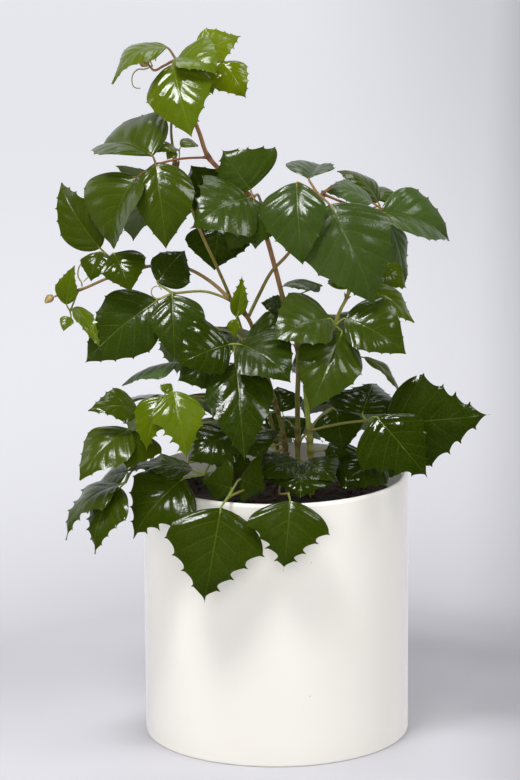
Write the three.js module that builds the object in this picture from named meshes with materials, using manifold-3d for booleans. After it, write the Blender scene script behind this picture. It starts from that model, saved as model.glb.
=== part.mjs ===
// A grape ivy climbing out of its straight-sided ceramic pot: pot, soil, vines, compound leaves,
// buds and tendrils, each its own solid. Millimetres, +Z up, origin under the middle of the pot.
import * as THREE from "three";
import { mergeVertices } from "three/addons/utils/BufferGeometryUtils.js";
import Module from "manifold-3d";

const wasm = await Module();
wasm.setup();

// ---- driving dimensions ------------------------------------------------------------------------
const POT_R = 80; // outer radius of the pot
const POT_H = 160;
const POT_WALL = 4.6;
const POT_BASE = 7; // thickness of the pot's floor
const FOOT_ROUND = 2.5; // rounding where wall meets floor
const INNER_ROUND = 4; // rounding inside, at the floor
const ROUND_MID = 0.3; // a rounding's middle point lies this share of its radius in from the corner
const SOIL_DEPTH_BELOW_RIM = 14;
const SOIL_CROWN = 5; // how much the soil heaps up round the vines
const SOIL_EDGE_BAND = 12; // ring by the wall where the soil falls away
const SOIL_EDGE_FALL = 3;
const SOIL_HEAP_R = 32; // the soil has risen halfway to its crown at this radius
const GAP = 0.4; // clearance kept wherever two pieces touch
const BURIED = 22; // length of vine that stands in the soil
const BLADE_THICK = 0.8; // stand-in thickness of a leaf blade
const PETIOLE_R = 0.75;
const STALK_R = 0.6; // the short stalk of each leaflet
const PETIOLE_TAPER = 0.8; // radius at the leaf as a share of the radius at the vine
const TENDRIL_R = 0.45;
const ROUND_SIDES = 48; // facets round the pot and the soil
const VINE_SIDES = 7;
const FINE_SIDES = 4; // facets round petioles, stalks and tendrils
const MARGIN_DROOP = 0.22; // how far a margin hangs below the midrib, as a share of the half-width
const PETIOLE_CLEARANCE = 0.1; // on top of the gap, because a petiole meets its vine at a slant
const STALK_REACH = 0.05; // how far up the midrib a leaflet's stalk runs into the blade
const STALK_OVERLAP = 0.4; // how far each stalk runs back past the petiole's end
const SEAM_TOLERANCE = 0.02; // slivers below this are cleaned off the seams between joined bodies

// Places on the plant are [across, forward, height]: mm to the right of the pot's axis, mm in front
// of it, and the height at which a line falling forward by SIGHT_FALL meets the plane of the axis.
const SIGHT_FALL = 0.2224;
const PLANT_ASIDE = -1.7;
const place = ([across, forward, height]) =>
  new THREE.Vector3(across + PLANT_ASIDE, -forward, height + SIGHT_FALL * forward);

// ---- the plant's layout ------------------------------------------------------------------------
// Vines: name, then points [across, forward, height, radius] from the soil to the growing tip.
const VINES = [
  ["crown_vine", [
    [15, 4, 156, 1.7], [15, 4, 180, 1.6], [15, 6, 204, 1.6], [15, 10, 238, 1.5], [8, 12, 261, 1.5],
    [2, 12, 285, 1.5], [-5, 12, 310, 1.5], [-12, 11, 327, 1.5], [-25, 8, 339, 1.5],
    [-37, 3, 352, 1.4], [-42, 0, 366, 1.3], [-47, 0, 380, 1.2], [-52, 0, 398, 1.0],
    [-55, 2, 409, 1.0], [-62, 4, 406, 0.8], [-68, 6, 403, 0.8], [-71, 7, 406, 0.7]]],
  ["left_vine", [
    [10, 10, 155, 1.5], [7, 12, 180, 1.4], [1, 16, 205, 1.4], [-7, 24, 232, 1.3],
    [-14, 32, 254, 1.3], [-25, 32, 266, 1.2], [-37, 26, 277, 1.1], [-52, 18, 285, 1.0],
    [-72, 14, 286, 0.9], [-94, 16, 280, 0.9], [-113, 18, 272, 0.9], [-119, 19, 271, 0.7],
    [-128, 20, 268, 0.6]]],
  ["olive_vine", [
    [7, -2, 156, 1.2], [2, 0, 180, 1.2], [-6, 6, 208, 1.1], [-17, 14, 244, 1.0],
    [-25, 18, 268, 1.0], [-33, 14, 287, 1.0], [-42, 8, 307, 0.9], [-50, 0, 329, 0.9],
    [-56, -6, 348, 0.9], [-59, -10, 368, 0.8], [-57, -12, 387, 0.7]]],
  ["right_vine", [
    [-13.4, 30.6, 255.4, 1.1], [-8, 22, 267, 1.1], [0, 20, 282, 1.0], [10, 18, 293, 1.0],
    [20, 20, 310, 1.0], [29, 22, 327, 1.0], [36, 14, 333, 0.8]]],
  ["green_stem", [
    [24, 16, 157, 1.8], [22, 18, 182, 1.7], [20, 20, 212, 1.5], [24, 28, 232, 1.4],
    [36, 44, 248, 1.3], [40, 45, 258, 1.1], [44, 44, 266, 0.9], [45, 43, 271, 0.8]]],
];

// Leaves: name, youth (0 old and dark, 1 fresh), points of the petiole from its vine, hub, and one
// row a leaflet, the middle one first: base place, tip place, width, the way the blade faces as
// azimuth (0 forward, 90 right) and elevation, arch of the midrib as a share of its length, and
// the angle in degrees by which both halves fold up from the midrib.
const LEAVES = [
  ["crown_leaf", 0.65, [[-54, 3, 407]], [-55, 7, 409], [
    [-57, 10, 406, -46, 36, 361.5, 40, -10, 30, 0.1, 6],
    [-60, 9, 416, -93, 16, 395, 31, -25, 72, 0.21, 4],
    [-54, 9, 410, -31, 24, 399, 34, 5, 56, 0.14, 24]]],
  ["crown_young_leaf", 1.0, [[-54, 0, 411], [-47, -3, 406]], [-40, -8, 406], [
    [-43, -8, 414.5, -17, -20, 426, 23, 5, 26, 0.08, 10],
    [-28.5, -8, 409, -14, 0, 387, 26, 15, 25, 0.1, 4],
    [-39, -6, 404, -34, -2, 389, 16, -20, 20, 0.08, 10]]],
  ["upper_left_leaf", 0.25, [[-37, 5, 351], [-53, 14, 350]], [-67, 27, 346], [
    [-78, 28, 338.5, -93, 34, 296, 60, -50, 24, 0.12, 30],
    [-69, 30, 351, -103.5, -6, 357, 54, 0, 60, 0.14, 26],
    [-67, 33, 346, -61, 50, 295, 36, 4, 24, 0.1, 6]]],
  ["left_leaf", 0.2, [[-76, 14, 286], [-88, 20, 290]], [-95, 26, 291], [
    [-101, 14, 297, -125, -4, 337.5, 31, -38, 24, 0.1, 24],
    [-101, 31, 294, -105.5, 40, 276.5, 22, -15, 34, 0.12, 5],
    [-92, 34, 293, -82, 48, 270, 28, 5, 32, 0.12, 6]]],
  ["left_young_leaf", 0.5, [[-114, 20, 271], [-117, 21, 264]], [-119, 22, 259], [
    [-116, 25, 261, -100, 46, 236, 12, 10, 40, 0.12, 22],
    [-121, 24, 263, -116, 29, 286, 15, -20, 10, 0.06, 14],
    [-118.5, 23, 255, -123, 28, 247, 10, -20, 30, 0.1, 20]]],
  ["mid_left_leaf", 0.05, [[-25, 34, 265], [-39, 34, 270]], [-58, 36, 269], [
    [-67, 35, 265, -110.5, 37, 228, 43, -22, 14, 0.1, 6],
    [-58, 42, 268, -56.5, 60, 228, 33, 0, 26, 0.1, 6],
    [-67, 32, 276, -51, 14, 296, 27, 0, 30, 0.08, 5]]],
  ["twig_leaf", 0.7, [[-55, -3, 347], [-54, 1, 352]], [-54, 3, 356], [
    [-53, 2, 358, -43, -8, 359, 11, 0, 60, 0.22, 10],
    [-56, 4, 357, -68, 10, 354, 10, -10, 50, 0.22, 10],
    [-56, 5, 355, -61, 11, 350, 8, 0, 40, 0.1, 10]]],
  ["centre_top_leaf", 0.1, [[-12, 14, 326]], [-11, 22, 327], [
    [-13, 24, 326, -47, 44, 308, 50, -14, 30, 0.12, 9],
    [-12, 20, 331, -29, 15, 355.5, 46, -4, 14, 0.06, 3],
    [-10, 24, 325, -25, 42, 293, 42, 8, 32, 0.12, 6]]],
  ["back_top_leaf", 0.0, [[-5, 8, 309], [-19, -4, 312]], [-31, -12, 316], [
    [-31, -10, 313, -34, -2, 284, 39, -5, 20, 0.1, 4],
    [-34, -14, 320, -48, -16, 348, 38, -20, 34, 0.1, 4],
    [-29, -16, 319, -19, -50, 336, 34, 10, 50, 0.1, 4]]],
  ["upper_right_leaf", 0.0, [[28, 24, 325]], [27, 32, 328], [
    [34, 38, 321, 60, 58, 261, 57, 10, 26, 0.08, 7],
    [15, 38, 334, 18, 60, 285, 39, -8, 28, 0.12, 6],
    [22, 26, 337, 30, -4, 348, 32, 0, 78, 0.05, 24]]],
  ["far_right_leaf", 0.05, [[30, 20, 327], [48, 8, 322]], [67, 2, 319], [
    [65, 10, 317.5, 106, -4, 301.5, 43, 0, 52, 0.14, 26],
    [69, -8, 315, 79, -5, 272, 28, 50, 18, 0.08, 5],
    [60, 2, 324, 30, 8, 332, 28, -5, 66, 0.12, 4]]],
  ["far_right_back_leaf", 0.2, [[24, 21, 317], [38, 2, 317], [52, -12, 319]], [65, -14, 323], [
    [64, -16, 325, 40, -26, 345, 24, -5, 78, 0.17, 4],
    [63, -18, 327, 69, -38, 336, 24, 10, 60, 0.1, 5]]],
  ["right_back_leaf", 0.4, [[25, 22, 319], [44, 8, 306]], [59, 9, 290], [
    [63, 12, 284, 80, 12, 272, 20, 10, 45, 0.14, 6],
    [57, 8, 288, 46, -22, 299, 30, 0, 45, 0.1, 5]]],
  ["right_leaf", 0.15, [[15, 26, 238], [26, 38, 242]], [37, 50, 249], [
    [41, 50, 245, 22, 78, 198.5, 39, 2, 26, 0.1, 6],
    [34, 52, 253, 1, 72, 241, 42, -10, 38, 0.1, 11],
    [42, 52, 253, 78, 60, 232, 39, 12, 38, 0.11, 12]]],
  ["right_young_leaf", 0.5, [[44, 44, 265], [47, 37, 270]], [52, 32, 271], [
    [54, 31, 271, 84, 30, 251, 26, 12, 58, 0.12, 5],
    [50, 30, 273, 40, 4, 284, 24, 0, 50, 0.1, 6]]],
  ["right_drop_leaf", 0.45, [[19, 20, 212], [29, 30, 221]], [43, 38, 230], [
    [54, 38, 230, 75, 36, 206, 11, 60, 48, 0.16, 8],
    [37, 18, 227, 9, -14, 225, 30, -10, 20, 0.1, 5]]],
  ["front_leaf", 0.0, [[-5, 32, 228], [-10, 47, 225], [-15, 59, 228]], [-22, 62, 238], [
    [-21, 62, 227, -16, 94, 170, 40, 2, 22, 0.08, 7],
    [-24, 62, 238, -55, 76, 226, 36, -12, 22, 0.1, 5],
    [-19, 62, 238, 11, 82, 216, 42, 14, 46, 0.12, 6]]],
  ["front_back_leaf", 0.0, [[-5, 27, 228], [-14, 31, 236]], [-19, 36, 241], [
    [-15, 39, 242, 8, 47, 241, 39, 5, 48, 0.1, 6],
    [-26, 40, 230, -55, 54, 217, 46, -14, 22, 0.1, 5]]],
  ["young_centre_leaf", 0.6, [[-17, 34, 257]], [-18, 38, 261], [
    [-21, 38, 255, -17, 38, 280, 12, 15, 10, 0.06, 24],
    [-21, 40, 253, -22, 43, 241, 9, -15, 15, 0.06, 24]]],
  ["grey_leaf", 0.05, [[7, 12, 264], [19, 4, 270]], [30, 6, 274], [
    [28, 8, 275, 6, 20, 273.5, 26, -5, 84, 0.1, -3]]],
  ["centre_small_leaf", 0.05, [[12, 12, 250], [13, 4, 253]], [11, 0, 255], [
    [10, 0, 256, -6, 6, 264, 26, -10, 58, 0.1, 5],
    [12, -4, 257, 19, -28, 269, 24, 0, 50, 0.1, 5]]],
  ["silver_leaf", 0.05, [[-6, 28, 222], [-28, 32, 227]], [-53, 32, 228], [
    [-55, 32, 228, -89, 34, 215, 28, -5, 91, 0.08, -6]]],
  ["low_left_leaf", 0.3, [[-6, 22, 192], [-42, 52, 191]], [-78, 68, 189], [
    [-83, 70, 188, -112, 86, 159, 34, -30, 35, 0.1, 5],
    [-78, 66, 199, -106, 80, 199.5, 25, -8, 45, 0.12, 5],
    [-79, 68, 187, -84, 82, 164, 30, 6, 20, 0.1, 5]]],
  ["low_left_young_leaf", 0.7, [[-6, 22, 199], [-34, 54, 207]], [-61, 74, 207], [
    [-57, 78, 210, -49, 94, 169, 31, 6, 24, 0.1, 6],
    [-64, 77, 207, -73, 90, 175, 22, -16, 20, 0.1, 6],
    [-62, 72, 209, -58, 67, 215, 9, 0, 20, 0.1, 12]]],
  ["left_rim_leaf", 0.15, [[-6, 18, 174], [-49, 32, 167], [-80, 45, 164]], [-86, 66, 156], [
    [-89, 70, 153, -105, 82, 114, 34, -40, 40, 0.14, 6],
    [-89, 68, 155, -122, 78, 123, 36, -62, 52, 0.16, 6],
    [-85, 58, 162, -105, 54, 152, 34, -10, 74, 0.1, 4]]],
  ["rim_inner_leaf", 0.1, [[-3, 20, 171], [-19, 38, 165]], [-40, 54, 160], [
    [-52, 62, 158, -82, 74, 123, 48, -18, 32, 0.12, 6],
    [-47, 54, 163, -87, 60, 164, 34, -5, 78, 0.08, 3],
    [-35, 45, 169, -11, 42, 165.5, 24, 8, 25, 0.1, 5]]],
  ["front_rim_leaf", 0.1, [[7, 24, 167], [-9, 50, 155]], [-26, 78, 147], [
    [-30, 88, 141, -40, 100, 84, 57, 2, 22, 0.09, 5],
    [-24, 65, 152, -43, 58, 158, 27, -5, 10, 0.08, 4],
    [-19, 62.5, 157.5, -3, 62, 150.5, 30, 6, 12, 0.08, 4]]],
  ["front_rim_right_leaf", 0.1, [[9, 24, 162], [4, 54, 149]], [9, 80, 149], [
    [10, 88, 145, 6, 100, 103, 48, 4, 24, 0.11, 4]]],
  ["inner_front_leaf", 0.0, [[15, 14, 166], [16, 26, 169]], [17, 36, 167], [
    [17, 40, 165, 16, 66, 147, 44, 0, 62, 0.1, 3],
    [15, 38, 167, -10, 56, 158, 32, -10, 60, 0.1, 4],
    [19, 38, 167, 36, 56, 156, 30, 12, 58, 0.1, 4]]],
  ["low_right_leaf", 0.0, [[22, 18, 186], [40, 34, 190]], [55, 48, 192], [
    [66, 46, 190, 128, 54, 195, 54, 5, 10, 0.08, 4],
    [61, 62, 194, 90, 74, 158, 46, 6, 12, 0.1, 6],
    [53, 44, 196, 62, 14, 215, 46, -6, 50, 0.1, 4]]],
  ["low_right_inner_leaf", 0.0, [[21, 14, 180], [27, 10, 192]], [36, 9, 199], [
    [38, 11, 198, 42, 19, 173, 30, 0, 32, 0.1, 5],
    [38, 5, 202, 50, -15, 209, 26, 0, 80, 0.1, -6],
    [34, 3, 203, 27, -23, 207, 24, -10, 50, 0.1, 5]]],
  ["right_rim_leaf", 0.0, [[21, 12, 174], [40, 14, 174]], [60, 18, 172], [
    [63, 24, 168, 40, 46, 151, 34, -6, 50, 0.1, 4],
    [60, 22, 170, 79, 20, 160, 30, 10, 40, 0.1, 4],
    [56, 15, 170, 29, 33, 156, 33, -8, 38, 0.1, 4]]],
  ["centre_low_leaf", 0.0, [[6, 18, 180], [-6, 28, 185]], [-19, 38, 187], [
    [-23, 42, 185, -50, 55, 168, 36, -14, 38, 0.1, 5],
    [-17, 42, 184, -6, 58, 170, 34, 8, 46, 0.1, 5],
    [-19, 28, 190, -26, 2, 207, 28, 0, 40, 0.1, 5]]],
  ["stem_back_leaf", 0.1, [[13, 0, 186], [11, -12, 190]], [7, -20, 193], [
    [5, -18, 194, -4, -10, 187, 18, -15, 20, 0.1, 5],
    [8, -20, 191, 17, -14, 180, 20, 10, 40, 0.1, 5],
    [6, -22, 197, 3, -34, 213, 24, 0, 30, 0.1, 5]]],
  ["back_rim_leaf", 0.0, [[3, -4, 170], [-4, -44, 184]], [-10, -66, 191], [
    [-11, -74, 190, -14, -112, 144, 50, 182, 30, 0.12, 5],
    [-17, -66, 192, -54, -86, 180, 36, 200, 60, 0.1, 4],
    [-3, -68, 192, 32, -92, 179, 36, 165, 60, 0.1, 4]]],
  ["back_right_leaf", 0.0, [[16, -12, 182], [34, -36, 198]], [48, -52, 203], [
    [53, -59, 203, 72, -98, 172, 46, 150, 35, 0.1, 5],
    [53, -52, 204, 90, -58, 197, 38, 110, 55, 0.1, 4],
    [43, -58, 203, 20, -90, 194, 34, 180, 55, 0.1, 4]]],
  ["back_left_leaf", 0.05, [[-2, -8, 180], [-34, -30, 202]], [-58, -44, 207], [
    [-62, -51, 206, -84, -90, 175, 46, 208, 35, 0.1, 5],
    [-63, -43, 207, -102, -38, 198, 36, 250, 55, 0.1, 4],
    [-54, -51, 207, -36, -86, 195, 34, 180, 55, 0.1, 4]]],
  ["back_mid_left_leaf", 0.1, [[0, 0, 224], [-20, -26, 244]], [-36, -42, 250], [
    [-40, -49, 249, -60, -86, 222, 46, 205, 30, 0.1, 5],
    [-42, -41, 250, -72, -40, 254, 34, 240, 50, 0.1, 4],
    [-33, -49, 250, -20, -88, 234, 36, 172, 45, 0.1, 4]]],
  ["back_mid_right_leaf", 0.1, [[18, 12, 236], [28, -26, 254]], [34, -44, 257], [
    [36, -52, 256, 44, -92, 230, 46, 170, 30, 0.1, 5],
    [40, -44, 257, 68, -46, 252, 36, 120, 50, 0.1, 4],
    [29, -50, 257, 14, -86, 246, 34, 190, 50, 0.1, 4]]],
  ["back_top_left_leaf", 0.3, [[-57, -8, 352], [-60, -16, 341]], [-64, -24, 333], [
    [-67, -31, 331, -86, -64, 307, 42, 215, 30, 0.1, 5],
    [-72, -23, 333, -92.5, -22, 349, 20, 250, 50, 0.1, 4],
    [-61, -31, 333, -54, -70, 320, 36, 175, 45, 0.1, 4]]],
  ["back_top_right_leaf", 0.1, [[20, 18, 310], [28, 0, 306]], [42, -22, 306], [
    [45, -30, 304, 58, -68, 278, 46, 165, 30, 0.1, 5],
    [47, -22, 309, 74, -28, 304, 36, 115, 50, 0.1, 4],
    [37, -29, 306, 22, -64, 298, 36, 190, 50, 0.1, 4]]],
  ["back_centre_leaf", 0.1, [[-10, 10, 326], [-8, -12, 330]], [-6, -30, 326], [
    [-7, -38, 324, -10, -80, 302, 46, 182, 30, 0.1, 5],
    [-1, -32, 326, 24, -58, 324, 36, 160, 55, 0.1, 4],
    [-12, -33, 322, -34, -54, 308, 36, 200, 50, 0.1, 4]]],
];

// Tendrils and the bare shoot tips they spring from.
const TENDRILS = [
  ["crown_tendril", [
    [-71, 7.2, 404.5], [-74, 8, 403.4], [-77, 8, 403.5], [-80, 9, 401], [-81, 10, 397],
    [-80, 11, 393], [-78, 12, 392], [-76, 12, 392]
  ]],
  ["crown_hook_tendril", [
    [-69, 7.8, 405], [-70, 10, 409], [-69, 10, 410], [-67, 10, 410], [-67, 10, 408]
  ]],
  ["left_loop_tendril", [
    [-112, 18.6, 274.2], [-112, 20, 276], [-114, 21, 280], [-113, 22, 286], [-110, 23, 289],
    [-107, 22, 288], [-107, 20, 284], [-108, 18, 280], [-111, 17, 277]
  ]],
  ["mid_left_tendril", [
    [-60, 39.5, 268], [-64, 45, 266], [-68, 47, 266], [-70, 48, 269], [-69, 48, 272],
    [-66, 47, 273], [-64, 46, 271]
  ]],
];

// Buds: name, base place, tip place, widest radius.
const BUDS = [
  ["crown_bud", [-71.5, 7.1, 406.4], [-77, 9, 409], 2.6],
  ["left_bud", [-129, 20, 268], [-134, 22, 264], 2.2],
];

// ---- helpers -----------------------------------------------------------------------------------
function solidOf(geometry) {
  const bare = geometry.clone();
  bare.deleteAttribute("normal");
  bare.deleteAttribute("uv");
  const merged = mergeVertices(bare, 1e-4);
  return new wasm.Manifold(
    new wasm.Mesh({
      numProp: 3,
      vertProperties: merged.attributes.position.array,
      triVerts: new Uint32Array(merged.index.array),
    }),
  );
}

function geometryOf(solid) {
  const mesh = solid.getMesh();
  const geometry = new THREE.BufferGeometry();
  geometry.setAttribute("position", new THREE.BufferAttribute(mesh.vertProperties, 3));
  geometry.setIndex(new THREE.BufferAttribute(mesh.triVerts, 1));
  return geometry;
}

// A closed tube through points, with a radius at each; both ends are capped.
function tube(points, radii, sides, steps) {
  const curve = new THREE.CatmullRomCurve3(points, false, "centripetal");
  const section = new THREE.Shape();
  for (let i = 0; i < sides; i += 1) {
    const a = (2 * Math.PI * i) / sides;
    if (i === 0) section.moveTo(Math.cos(a), Math.sin(a));
    else section.lineTo(Math.cos(a), Math.sin(a));
  }
  const geometry = new THREE.ExtrudeGeometry(section, {
    steps,
    extrudePath: curve,
    bevelEnabled: false,
    curveSegments: 1,
  });
  // The section has radius 1: swell each vertex about the nearest step's centre.
  const centres = curve.getSpacedPoints(steps);
  const position = geometry.attributes.position;
  const vertex = new THREE.Vector3();
  for (let i = 0; i < position.count; i += 1) {
    vertex.fromBufferAttribute(position, i);
    let nearest = 0;
    centres.forEach((c, k) => {
      if (c.distanceTo(vertex) < centres[nearest].distanceTo(vertex) - 1e-9) nearest = k;
    });
    const along = (nearest / steps) * (radii.length - 1);
    const low = Math.min(Math.floor(along), radii.length - 2);
    const radius = radii[low] + (radii[low + 1] - radii[low]) * (along - low);
    vertex.sub(centres[nearest]).setLength(radius).add(centres[nearest]);
    position.setXYZ(i, vertex.x, vertex.y, vertex.z);
  }
  return geometry;
}

function mesh(name, geometry, color, roughness) {
  const made = new THREE.Mesh(
    geometry,
    new THREE.MeshStandardMaterial({ color, roughness, metalness: 0 }),
  );
  made.name = name;
  return made;
}

// ---- pot and soil ------------------------------------------------------------------------------
function potGeometry() {
  const inner = POT_R - POT_WALL;
  const lip = POT_WALL / 2;
  const profile = [
    [0, 0],
    [POT_R - FOOT_ROUND, 0],
    [POT_R - ROUND_MID * FOOT_ROUND, ROUND_MID * FOOT_ROUND],
    [POT_R, FOOT_ROUND],
    [POT_R, POT_H - lip],
    [POT_R - ROUND_MID * lip, POT_H - ROUND_MID * lip],
    [POT_R - lip, POT_H],
    [inner + ROUND_MID * lip, POT_H - ROUND_MID * lip],
    [inner, POT_H - lip],
    [inner, POT_BASE + INNER_ROUND],
    [inner - INNER_ROUND, POT_BASE],
    [0, POT_BASE],
  ];
  return latheZ(profile, ROUND_SIDES);
}

// A solid of revolution about +Z from a profile of [radius, height].
function latheZ(profile, segments) {
  const points = profile.map(([r, z]) => new THREE.Vector2(r, z));
  return new THREE.LatheGeometry(points, segments).rotateX(Math.PI / 2);
}

const soilTop = POT_H - SOIL_DEPTH_BELOW_RIM;

function soilGeometry(sockets) {
  const wall = POT_R - POT_WALL - GAP;
  const profile = [
    [0, POT_BASE + GAP],
    [wall - INNER_ROUND, POT_BASE + GAP],
    [wall, POT_BASE + GAP + INNER_ROUND],
    [wall, soilTop - SOIL_EDGE_FALL],
    [wall - SOIL_EDGE_BAND, soilTop],
    [SOIL_HEAP_R, soilTop + 0.5 * SOIL_CROWN],
    [0, soilTop + SOIL_CROWN],
  ];
  const heap = solidOf(latheZ(profile, ROUND_SIDES));
  return geometryOf(sockets.reduce((left, socket) => left.subtract(socket), heap));
}

// ---- vines -------------------------------------------------------------------------------------
// A vine that starts below the rim is rooted: its foot is buried in the soil.
const isRooted = (rows) => rows[0][2] < POT_H;

function vinePoints(rows, extra) {
  const points = rows.map(place);
  if (isRooted(rows)) points[0].z = soilTop + SOIL_CROWN - BURIED - extra;
  return points;
}

const vineSteps = (rows) => 2 * (rows.length - 1);

function vineTube(rows, extra) {
  const radii = rows.map((row) => row[3] + extra);
  return tube(vinePoints(rows, extra), radii, VINE_SIDES, vineSteps(rows));
}

const vineCentres = VINES.map(([, rows]) => {
  const curve = new THREE.CatmullRomCurve3(vinePoints(rows, 0), false, "centripetal");
  return [rows, curve.getSpacedPoints(vineSteps(rows))];
});

// ---- leaves ------------------------------------------------------------------------------------
const ALONG = [0, 0.17, 0.43, 0.72, 1]; // stations on the midrib where the margin has a point
const WIDTH_AT = [0, 0.74, 1, 0.52, 0];

function facing(azimuth, elevation) {
  const a = THREE.MathUtils.degToRad(azimuth);
  const e = THREE.MathUtils.degToRad(elevation);
  return new THREE.Vector3(Math.sin(a) * Math.cos(e), -Math.cos(a) * Math.cos(e), Math.sin(e));
}

// A leaflet's own frame: chord from base to tip, the side to its right and the way it faces.
function bladeFrame(row) {
  const base = place(row.slice(0, 3));
  const chord = place(row.slice(3, 6)).sub(base);
  const [width, azimuth, elevation, arch, fold] = row.slice(6);
  const direction = chord.clone().normalize();
  const normal = facing(azimuth, elevation);
  normal.addScaledVector(direction, -normal.dot(direction)).normalize();
  const side = new THREE.Vector3().crossVectors(direction, normal);
  const lift = Math.sin(THREE.MathUtils.degToRad(fold)) - MARGIN_DROOP;
  return { base, chord, normal, side, width, lift, rise: 4 * arch * chord.length() };
}

// A point of the blade: u along the midrib from 0 to 1, half the half-width there, across -1 to 1.
function bladePoint(frame, u, half, across) {
  return frame.base
    .clone()
    .addScaledVector(frame.chord, u)
    .addScaledVector(frame.normal, frame.rise * u * (1 - u) + Math.abs(across) * half * frame.lift)
    .addScaledVector(frame.side, across * half);
}

// One leaflet's blade: a thin closed shell, folded along the midrib and arching over to its tip.
function bladeGeometry(row) {
  const frame = bladeFrame(row);
  const vertices = [];
  const column = (k, across) =>
    bladePoint(frame, ALONG[k], (WIDTH_AT[k] * frame.width) / 2, across);
  const skin = (offset) => {
    const first = vertices.length;
    ALONG.forEach((u, k) => {
      const ends = k === 0 || k === ALONG.length - 1;
      (ends ? [0] : [-1, 0, 1]).forEach((across) => {
        vertices.push(column(k, across).addScaledVector(frame.normal, offset));
      });
    });
    return first;
  };
  const top = skin(BLADE_THICK / 2);
  const under = skin(-BLADE_THICK / 2);
  const index = [];
  const last = ALONG.length - 2;
  const at = (first, k, j) => first + (k === 0 ? 0 : k > last ? 1 + 3 * last : 1 + 3 * (k - 1) + j);
  const facet = (first, corners) => {
    const ids = corners.map(([k, j]) => at(first, k, j));
    index.push(...(first === top ? ids : ids.reverse()));
  };
  for (const first of [top, under]) {
    facet(first, [[0, 0], [1, 1], [1, 0]]);
    facet(first, [[0, 0], [1, 2], [1, 1]]);
    for (let k = 1; k < last; k += 1) {
      for (const j of [0, 1]) {
        facet(first, [[k, j], [k, j + 1], [k + 1, j + 1]]);
        facet(first, [[k, j], [k + 1, j + 1], [k + 1, j]]);
      }
    }
    facet(first, [[last, 0], [last, 1], [last + 1, 0]]);
    facet(first, [[last, 1], [last, 2], [last + 1, 0]]);
  }
  const rim = (a, b) => {
    const [ta, tb] = [at(top, ...a), at(top, ...b)];
    const [ua, ub] = [at(under, ...a), at(under, ...b)];
    index.push(ta, ua, ub, ta, ub, tb);
  };
  for (let k = 0; k <= last; k += 1) {
    rim([k + 1, 0], [k, 0]);
    rim([k, 2], [k + 1, 2]);
  }
  const geometry = new THREE.BufferGeometry();
  geometry.setAttribute(
    "position",
    new THREE.Float32BufferAttribute(vertices.flatMap((v) => v.toArray()), 3),
  );
  geometry.setIndex(index);
  return geometry;
}

// The petiole's foot stands just off the nearest vine, a gap away from its bark.
function footOff(point, next) {
  let foot = point;
  let nearest = Infinity;
  for (const [rows, centres] of vineCentres) {
    for (let k = 0; k < centres.length - 1; k += 1) {
      const segment = new THREE.Line3(centres[k], centres[k + 1]);
      const on = segment.closestPointToPoint(point, true, new THREE.Vector3());
      const distance = on.distanceTo(point);
      if (distance < nearest) {
        nearest = distance;
        const along = segment.delta(new THREE.Vector3()).normalize();
        const out = next.clone().sub(on).normalize();
        const away = out.clone().addScaledVector(along, -out.dot(along)).normalize();
        const radius = rows[Math.min(Math.round(k / 2), rows.length - 1)][3];
        const slant = PETIOLE_R * Math.sqrt(Math.max(0, 1 - away.dot(out) ** 2));
        foot = on.clone().addScaledVector(away, radius + GAP + PETIOLE_CLEARANCE + slant);
      }
    }
  }
  return foot;
}

function leafGeometry([, , petiole, hub, leaflets]) {
  const middle = place(hub);
  const way = petiole.map(place);
  way[0] = footOff(way[0], way[1] ?? middle);
  const thinning = [PETIOLE_R, PETIOLE_TAPER * PETIOLE_R];
  let leaf = solidOf(tube([...way, middle], thinning, FINE_SIDES, 1 + way.length));
  for (const row of leaflets) {
    const end = bladePoint(bladeFrame(row), STALK_REACH, 0, 0);
    const outwards = end.clone().sub(middle).setLength(STALK_OVERLAP);
    const start = middle.clone().sub(outwards);
    leaf = leaf.add(solidOf(tube([start, end], [STALK_R, STALK_R], FINE_SIDES, 1)));
    leaf = leaf.add(solidOf(bladeGeometry(row)));
  }
  return geometryOf(leaf.asOriginal().simplify(SEAM_TOLERANCE));
}

// ---- assembly ----------------------------------------------------------------------------------
const POT_CREAM = 0xf0ede6;
const SOIL_BROWN = 0x2e2018;
const BARK = 0x8a6a3c;
const BUD_TAN = 0x9c8a5c;
const TENDRIL_GREEN = 0x9aa05a;
const OLD_LEAF = new THREE.Color(0x2f5a0c);
const YOUNG_LEAF = new THREE.Color(0x7da018);

const group = new THREE.Group();
group.add(mesh("pot", potGeometry(), POT_CREAM, 0.15));
const rooted = VINES.filter(([, rows]) => isRooted(rows));
const sockets = rooted.map(([, rows]) => solidOf(vineTube(rows, GAP)));
group.add(mesh("soil", soilGeometry(sockets), SOIL_BROWN, 0.95));
for (const [name, rows] of VINES) group.add(mesh(name, vineTube(rows, 0), BARK, 0.6));
for (const leaf of LEAVES) {
  const color = OLD_LEAF.clone().lerp(YOUNG_LEAF, leaf[1]);
  group.add(mesh(leaf[0], leafGeometry(leaf), color, 0.3));
}
for (const [name, rows] of TENDRILS) {
  const radii = rows.map(() => TENDRIL_R);
  group.add(mesh(name, tube(rows.map(place), radii, FINE_SIDES, 2 * rows.length), TENDRIL_GREEN, 0.5));
}
for (const [name, from, to, radius] of BUDS) {
  const swell = [0.35 * radius, radius, 0.75 * radius, 0.2 * radius];
  const [base, tip] = [place(from), place(to)];
  const way = [0, 1 / 3, 2 / 3, 1].map((t) => base.clone().lerp(tip, t));
  group.add(mesh(name, tube(way, swell, VINE_SIDES, 2 * swell.length), BUD_TAN, 0.6));
}

export default group;
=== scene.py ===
"""A potted grape ivy: glazed pot, potting mix, climbing vines, compound leaves, tendrils and buds.

Every place is given in millimetres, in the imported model's own frame, and turned to metres when a
mesh is made.
"""
import math

import bmesh
import bpy
import numpy as np
from mathutils import Matrix, Vector, noise


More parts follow.
